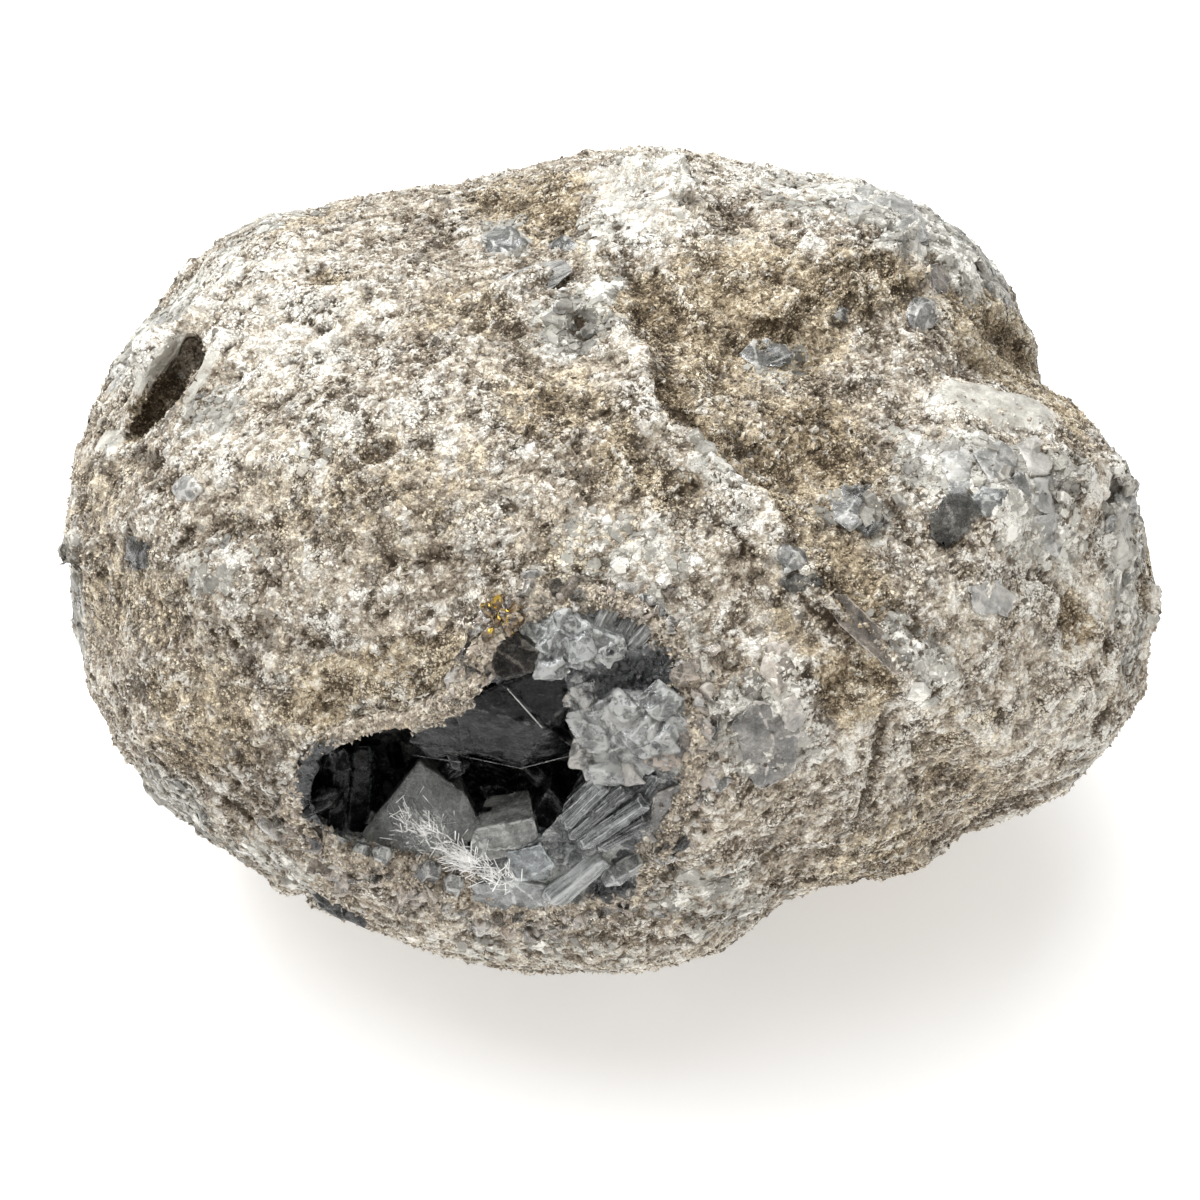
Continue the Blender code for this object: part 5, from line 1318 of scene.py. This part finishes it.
def lumpForms(plan, trees):
    rng = np.random.default_rng(plan["seed"])
    line = np.concatenate([rimOutline, rimOutline[:1]])
    forms = {kind: [] for kind in glassPlans}
    number = 0
    for first, second in zip(line[plan["first"]:plan["last"]], line[plan["first"] + 1:]):
        steps = int(np.linalg.norm(second - first) / plan["step"]) + 1
        for step in range(steps * 2):
            spot = first + (second - first) * step / steps / 2 + rng.normal(0, 1.5, 2)
            top = foremost(trees, spot)
            if top is None:
                continue
            size = plan["sizes"][0] + (plan["sizes"][1] - plan["sizes"][0]) * rng.uniform() ** 2
            centre = placed((*spot, top - size * 0.2))
            corners = centre + rng.normal(0, 1, (plan["corners"], 3)) * size * 0.32
            kind = plan["kinds"][rng.integers(len(plan["kinds"]))]
            shade = plan["shades"][kind] + rng.uniform(-0.15, 0.15)
            forms[kind].append(crystalForm(corners, corners[0] - corners[1], formPlans["outer"],
                                           700 + number, shade, rng.uniform(0.3, 1.0)))
            number += 1
    return forms


trees = (BVHTree.FromPolygons(rockPoints.tolist(), rockTriangles.tolist()),
         BVHTree.FromPolygons(bedPoints.tolist(), bedTriangles.tolist()))
golden = joinedForms("goldenCrystal", goldenForms(goldenPlan, trees))
golden.data.materials.append(goldenMaterial(goldenPlan))
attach(golden, "root")
pocketPieces = pocketForms()
pocketPieces["smoky"] += druseForms(drusePlan)
spray = joinedForms("fibrousSpray", sprayForms(sprayPlan), False)
spray.data.materials.append(sprayMaterial(sprayPlan))
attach(spray, "root")
for more in (outerForms(outerPlan, trees[0]), lumpForms(lumpPlan, trees)):
    for kind, forms in more.items():
        pocketPieces[kind] += forms
for kind, forms in pocketPieces.items():
    piece = joinedForms(kind + "Crystals", forms)
    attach(piece, "root")
    piece.data.materials.append(glassMaterial(kind + "Celestite", glassPlans[kind]))
    print(f"{kind} crystals made: {len(piece.data.polygons)} triangles")


# Loose-looking grains and chips that are bedded in the rock, as joined meshes.
def scatterSpots(ground, count, weight, seed):
    # Random spots on a mesh, more of them where the weight is high.
    rng = np.random.default_rng(seed)
    triangles = ground["triangles"]
    corners = ground["points"][triangles]
    across = np.cross(corners[:, 1] - corners[:, 0], corners[:, 2] - corners[:, 0])
    area = np.linalg.norm(across, axis=1)
    chance = area * weight[triangles].mean(1)
    chosen = rng.choice(len(chance), count, p=chance / chance.sum())
    shares = rng.dirichlet((1, 1, 1), count)
    spots = np.einsum("ij,ijk->ik", shares, corners[chosen])
    normals = ground["normals"][triangles[chosen]].mean(1)
    normals /= np.linalg.norm(normals, axis=1, keepdims=True)
    return spots, normals, triangles[chosen][:, 0], rng


def tilted(normals, amount, rng):
    # A frame on each spot: two ways across it and one out of it, tipped at random.
    out = normals + rng.uniform(-amount, amount, normals.shape)
    out /= np.linalg.norm(out, axis=1, keepdims=True)
    across = np.cross(out, rng.normal(size=out.shape))
    across /= np.linalg.norm(across, axis=1, keepdims=True)
    return across, np.cross(out, across), out


# A shape gives all its grains' points and triangles, and which points of a grain lie low.
def peaks(spots, normals, sizes, lean, rng):  # four-sided grains, open below
    across, along, out = tilted(normals, lean, rng)
    points = []
    for corner in range(4):
        angle = math.pi / 2 * corner + rng.uniform(-0.5, 0.5, len(spots))
        reach = sizes * rng.uniform(0.35, 0.65, len(spots))
        points.append(spots + across * (np.cos(angle) * reach)[:, None]
                      + along * (np.sin(angle) * reach)[:, None] - out * (sizes * 0.3)[:, None])
    top = sizes[:, None] * rng.uniform(-0.22, 0.22, (len(spots), 2))
    level = sizes * rng.uniform(0.12, 0.42, len(spots))
    points.append(spots + across * top[:, :1] + along * top[:, 1:] + out * level[:, None])
    faces = np.array(((0, 1, 4), (1, 2, 4), (2, 3, 4), (3, 0, 4)))
    triangles = faces[None] + np.arange(len(spots))[:, None, None] * 5
    return np.stack(points, 1).reshape(-1, 3), triangles.reshape(-1, 3), np.arange(5) < 4


def chips(spots, normals, sizes, lean, rng):  # flat-topped broken blocks, open below
    across, along, out = tilted(normals, lean, rng)
    points = []
    reach = sizes * rng.uniform(0.4, 0.62, len(spots))
    squash = rng.uniform(0.5, 1.0, len(spots))
    tops = sizes * rng.uniform(0.02, 0.08, len(spots))
    slope = rng.uniform(-0.07, 0.07, (len(spots), 2))
    for level in (-1, 1):
        for corner in range(5):
            angle = math.tau / 5 * corner + rng.uniform(-0.4, 0.4, len(spots))
            own = reach * (1.25 if level < 0 else rng.uniform(0.7, 1.0, len(spots)))
            x = np.cos(angle) * own
            y = np.sin(angle) * own * squash
            height = tops + x * slope[:, 0] + y * slope[:, 1] if level > 0 else -sizes * 0.3
            points.append(spots + across * x[:, None] + along * y[:, None] + out * height[:, None])
    faces = [(5, 6, 7), (5, 7, 8), (5, 8, 9)]
    for corner in range(5):
        after = (corner + 1) % 5
        faces += [(corner, after, after + 5), (corner, after + 5, corner + 5)]
    triangles = np.array(faces)[None] + np.arange(len(spots))[:, None, None] * 10
    return np.stack(points, 1).reshape(-1, 3), triangles.reshape(-1, 3), np.arange(10) < 5


rockNormals = vertexNormals(rockPoints, rockTriangles)
frontShare = 0.27 + 0.73 * ease(rockNormals @ outWay, -0.3, 0.2)
offFoot = ease(rockPoints[:, 2], 0.8, 2.5)
outside = ease(np.linalg.norm((rockPoints - middle) / (89, 75, 64), axis=1), 0.84, 0.9)
sandPart = np.clip(rockValues["sand"] * 1.2 - rockValues["crystal"] * 0.35, 0.06, 1)
crystalPart = np.clip(rockValues["crystal"] * 1.2 - sandPart * 0.3, 0, 1)
chalkPart = np.clip(1 - sandPart * 0.7 - crystalPart * 0.6, 0.05, 1)
everywhere = frontShare * offFoot * outside * (1 - 0.85 * ease(rockValues["smooth"], 0.3, 0.6))

bedNormals = vertexNormals(bedPoints, bedTriangles)
rimZones = {"sand": 0.3, "crystal": 0.25, "pale": 0.45, "brown": 0.4, "streak": 0.0, "relief": 0.0}
grounds = {
    "rock": {"points": rockPoints, "triangles": rockTriangles, "normals": rockNormals,
             "values": rockValues},
    "rim": {"points": bedPoints, "triangles": bedTriangles, "normals": bedNormals,
            "values": {zone: np.full(len(bedPoints), share) for zone, share in rimZones.items()}},
}
rimWeight = bedRim * ease(bedNormals @ outWay, -0.1, 0.3)

grainPlans = {
    "rimGrains": {"ground": "rim", "count": 7000, "sizes": (0.5, 1.7), "lean": 0.6, "shape": peaks,
                  "weight": rimWeight, "roughness": (0.5, 0.4), "glassy": 0.0, "seed": 34},
    "sandGrains": {"ground": "rock", "count": 45000, "sizes": (0.55, 1.3), "lean": 0.7,
                   "shape": peaks, "weight": everywhere * sandPart ** 1.3,
                   "roughness": (0.7, 0.25), "glassy": 0.0, "seed": 31},
    "chalkGrains": {"ground": "rock", "count": 45000, "sizes": (0.6, 1.9), "lean": 0.6,
                    "shape": peaks, "weight": everywhere * chalkPart,
                    "roughness": (0.55, 0.4), "glassy": 0.0, "seed": 32},
    "crystalChips": {"ground": "rock", "count": 4600, "sizes": (1.0, 3.6), "lean": 0.07,
                     "shape": chips, "weight": everywhere * crystalPart ** 1.3,
                     "roughness": (0.3, 0.45), "glassy": 0.3, "seed": 33},
}


def makeGrains(name, plan):
    ground = grounds[plan["ground"]]
    spots, normals, near, rng = scatterSpots(ground, plan["count"], plan["weight"], plan["seed"])
    least, most = plan["sizes"]
    sizes = least + (most - least) * rng.uniform(0, 1, plan["count"]) ** 2
    points, triangles, low = plan["shape"](spots, normals, sizes, plan["lean"], rng)
    points[:, 2] = np.maximum(points[:, 2], 0)
    obj = meshObject(name, points, triangles)
    for layer in ("tone", "other"):
        storeValues(obj, layer, np.repeat(rng.uniform(0, 1, plan["count"]), len(low)))
    # The low points get painted shade in the grains' material.
    storeValues(obj, "low", np.tile(low, plan["count"]))
    for zone in zoneNames:
        storeValues(obj, zone, np.repeat(ground["values"][zone][near], len(low)))
    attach(obj, "root")
    print(f"{name}: {len(triangles)} triangles")
    return obj


def grainMaterial(name, look, roughness, glassy):
    made, shader, coords = newMaterial(name, **{"IOR": 1.55, "Specular IOR Level": look["sheen"]})
    tone, other, low = coords.stored("tone", "other", "low")
    fine = coords.noise(1.9, 4.0, 0.7)
    patchy = coords.noise(0.4, 4.0, 0.6)
    colour, _, _ = zoneColour(look, coords, tone, other, tone, fine, patchy, glassy)
    crisp = coords.noise(0.17, 3.0).between(0.38, 0.6) * 0.7 + 0.3
    # Painted shade on each grain's low points, where shade would fall at its foot.
    paintedShade = low.between(0.22, 0.54) * crisp * (0.9 - glassy)
    colour = coords.mixed(paintedShade, colour, look["paintedShade"])
    normal = coords.bumped(coords.noise(1.9, 1.0, 0.7), 0.35, 0.4)
    feed(shader, Base_Color=colour, Roughness=roughness[0] + other * roughness[1], Normal=normal)
    return made


for name, plan in grainPlans.items():
    material = grainMaterial(name + "Look", rockLook, plan["roughness"], plan["glassy"])
    makeGrains(name, plan).data.materials.append(material)


# The studio: a plain pale floor, a broad soft light over the left and a weak warm one in front.
studioPlan = {"floor": 4000.0, "floorColour": (0.93, 0.93, 0.93), "world": (1.0, 1.0, 1.0),
              "worldStrength": 0.45, "floorGlow": 0.31, "aimHeight": 60.0}
lightRows = (  # name, place, size, power, colour
    ("overheadLight", (-200.0, 120.0, 950.0), 1100.0, 12.5, (0.98, 0.99, 1.0)),
    ("keyLight", (-300.0, 260.0, 700.0), 300.0, 2.6, (0.97, 0.99, 1.0)),
    ("frontLight", (100.0, -700.0, 420.0), 500.0, 1.6, (1.0, 0.95, 0.89)),
)


def makeStudio(plan):
    half = plan["floor"] / 2
    corners = np.array([(-half, -half, 0), (half, -half, 0), (half, half, 0), (-half, half, 0)])
    floor = meshObject("floor", corners, np.array([(0, 1, 2), (0, 2, 3)]))
    made = newMaterial("paleFloor", **{
        "Roughness": 0.8, "Base Color": (*plan["floorColour"], 1),
        "Emission Color": (1, 1, 1, 1), "Emission Strength": plan["floorGlow"]})[0]
    floor.data.materials.append(made)
    world = bpy.data.worlds.new("studio")
    world.use_nodes = True
    background = world.node_tree.nodes["Background"]
    background.inputs["Color"].default_value = (*plan["world"], 1)
    background.inputs["Strength"].default_value = plan["worldStrength"]
    bpy.context.scene.world = world
    for name, place, size, power, colour in lightRows:
        light = bpy.data.objects.new(name, bpy.data.lights.new(name, "AREA"))
        light.data.size = size * mm
        light.data.energy = power
        light.data.color = colour
        bpy.context.scene.collection.objects.link(light)
        light.location = Vector(place) * mm
        aim = Vector((0, 0, plan["aimHeight"] * mm)) - light.location
        light.rotation_euler = aim.to_track_quat("-Z", "Y").to_euler()
    bpy.context.scene.view_settings.view_transform = "Standard"


makeStudio(studioPlan)
print("studio made")
